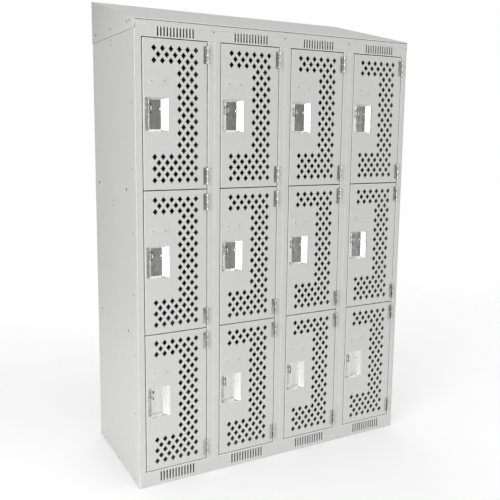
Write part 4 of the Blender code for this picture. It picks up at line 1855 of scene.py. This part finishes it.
def dress_carried(nodes: dict[str, bpy.types.Object], finishes: Finishes) -> None:
    """Gives the CAD sheets that stay in view their paint; the inside sheets take a dark grey that is painted shade.

    Args:
        nodes: the frame's nodes by name.
        finishes: the materials.
    """
    for name, node in nodes.items():
        if name.startswith(("shelf", "partition", "back_panel", "bottom_pan", "top_pan")):
            node.data.materials.clear()
            # The inside sheets take the dark paint: painted shade inside the cabinet.
            node.data.materials.append(finishes.panel if name == "back_panel" else finishes.inside)
            LOG.info("%s keeps its own shape", name)


# ---------------------------------------------------------------- floor, light and camera


@dataclass(frozen=True)
class Studio:
    """A pale floor, soft light and the camera."""

    bank: Bank
    eye: tuple[float, float, float] = (-1.368, -2.512, 1.35)
    yaw: float = 0.4968
    pitch: float = -0.1431
    roll: float = 0.0114
    lens: float = 47.6
    shift: float = -0.047

    def floor(self) -> None:
        """A wide disc whose rim melts into the background."""
        rings = [[Vector((r * math.cos(a), r * math.sin(a), -0.0004)) for a in (math.radians(5 * k) for k in range(72))] for r in (0.5, 4.0, 9.0)]
        vertices = [v for ring in rings for v in ring]
        faces: list[Face] = [tuple(range(72))]
        for row in range(2):
            for i in range(72):
                j = (i + 1) % 72
                faces.append((row * 72 + i, (row + 1) * 72 + i, (row + 1) * 72 + j, row * 72 + j))
        mesh = bpy.data.meshes.new("floor")
        mesh.from_pydata(vertices, [], faces)
        made, graph, shader = new_finish("Pale floor")
        place = graph.node("ShaderNodeTexCoord").outputs["Object"]
        cloud = graph.out("ShaderNodeTexNoise", {"Vector": place, "Scale": 1.4, "Detail": 3.0})
        graph.tree.links.new(graph.scaled((0.94, 0.94, 0.94), graph.remap(cloud, 0.3, 0.7, 0.985, 1.0)), shader.inputs["Base Color"])
        shader.inputs["Roughness"].default_value = 0.7
        away = graph.node("ShaderNodeVectorMath", {0: place}, operation="LENGTH").outputs["Value"]
        graph.tree.links.new(graph.remap(away, 1.3, 3.6, 1.0, 0.0), shader.inputs["Alpha"])
        mesh.materials.append(made)
        shown("floor", mesh)

    def softbox(self, name: str, place: tuple, aim: tuple, size: Point, power: float) -> None:
        """One large soft light.

        Args:
            name: the light's name.
            place: where it stands.
            aim: what it points at.
            size: its width and height.
            power: in watts.
        """
        light = bpy.data.lights.new(name, "AREA")
        light.shape = "RECTANGLE"
        light.size, light.size_y = size
        light.energy = power
        made = bpy.data.objects.new(name, light)
        bpy.context.scene.collection.objects.link(made)
        made.location = place
        made.rotation_mode = "QUATERNION"
        made.rotation_quaternion = (Vector(aim) - Vector(place)).to_track_quat("-Z", "Y")
        made.visible_camera = False

    def world(self) -> None:
        """White to the eye; for light and gloss a pale sky over a dim horizon."""
        world = bpy.data.worlds.new("studio")
        bpy.context.scene.world = world
        world.use_nodes = True
        graph = Graph(world.node_tree)
        out = next(n for n in world.node_tree.nodes if n.type == "OUTPUT_WORLD")
        way = graph.node("ShaderNodeTexCoord").outputs["Generated"]
        up = graph.node("ShaderNodeSeparateXYZ", {0: way}).outputs[2]
        sky = graph.remap(up, 0.28, 0.58, 0.24, 0.92)
        ground = graph.remap(up, -0.5, -0.12, 0.70, 0.0)
        tone = graph.math("MAXIMUM", sky, ground)
        seen = graph.node("ShaderNodeLightPath").outputs["Is Camera Ray"]
        back = graph.out("ShaderNodeBackground", {"Strength": graph.math("MAXIMUM", tone, seen)})
        back.node.inputs["Color"].default_value = (1.0, 1.0, 1.0, 1.0)
        graph.tree.links.new(back, out.inputs["Surface"])

    def camera(self) -> None:
        """The camera, above the middle and to the left, looking slightly down."""
        data = bpy.data.cameras.new("camera")
        data.sensor_width = 36.0
        data.lens = self.lens
        data.shift_y = self.shift
        made = bpy.data.objects.new("camera", data)
        bpy.context.scene.collection.objects.link(made)
        ahead = Vector((math.sin(self.yaw) * math.cos(self.pitch), math.cos(self.yaw) * math.cos(self.pitch), math.sin(self.pitch)))
        flat = Vector((math.cos(self.yaw), -math.sin(self.yaw), 0.0))
        upright = flat.cross(ahead)
        right = flat * math.cos(self.roll) + upright * math.sin(self.roll)
        upward = upright * math.cos(self.roll) - flat * math.sin(self.roll)
        turn = Matrix((right, upward, -ahead)).transposed()
        made.matrix_world = Matrix.Translation(self.eye) @ turn.to_4x4()
        bpy.context.scene.camera = made

    def build(self) -> None:
        """Sets the whole studio."""
        self.floor()
        self.world()
        self.softbox("key", (-3.1, -2.1, 1.3), (-0.2, 0.0, 0.9), (2.1, 2.9), 80.0)
        self.softbox("side fill", (3.8, -1.9, 1.2), (0.0, 0.0, 0.9), (2.4, 3.0), 44.0)
        self.softbox("front fill", (0.6, -3.0, 4.0), (0.0, 0.0, 0.8), (3.0, 1.8), 22.0)
        self.softbox("rear fill", (1.0, 3.8, 1.5), (0.0, 0.0, 0.9), (3.2, 2.2), 34.0)
        self.camera()
        bpy.context.scene.view_settings.view_transform = "Standard"


def main() -> None:
    """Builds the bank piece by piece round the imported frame."""
    logging.basicConfig(level=logging.INFO, format="%(name)s: %(message)s")
    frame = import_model()
    bank = Bank.from_frame(frame["joints"])
    finishes, recipes, fitter = Finishes.build(), Recipes.build(), Fitter()
    door = LockerDoor(bank)
    cup = HandleCup(door)
    parts = [door, cup, DoorFrame(bank, door, cup), LouvredStrips(bank), Hood(bank), SidePanels(bank), Interior(bank)]
    for part in parts:
        part.build(recipes, finishes, fitter)
    dress_carried(frame["nodes"], finishes)
    Studio(bank).build()
    LOG.info("%d pieces fitted", fitter.count)


if __name__ == "__main__":
    main()
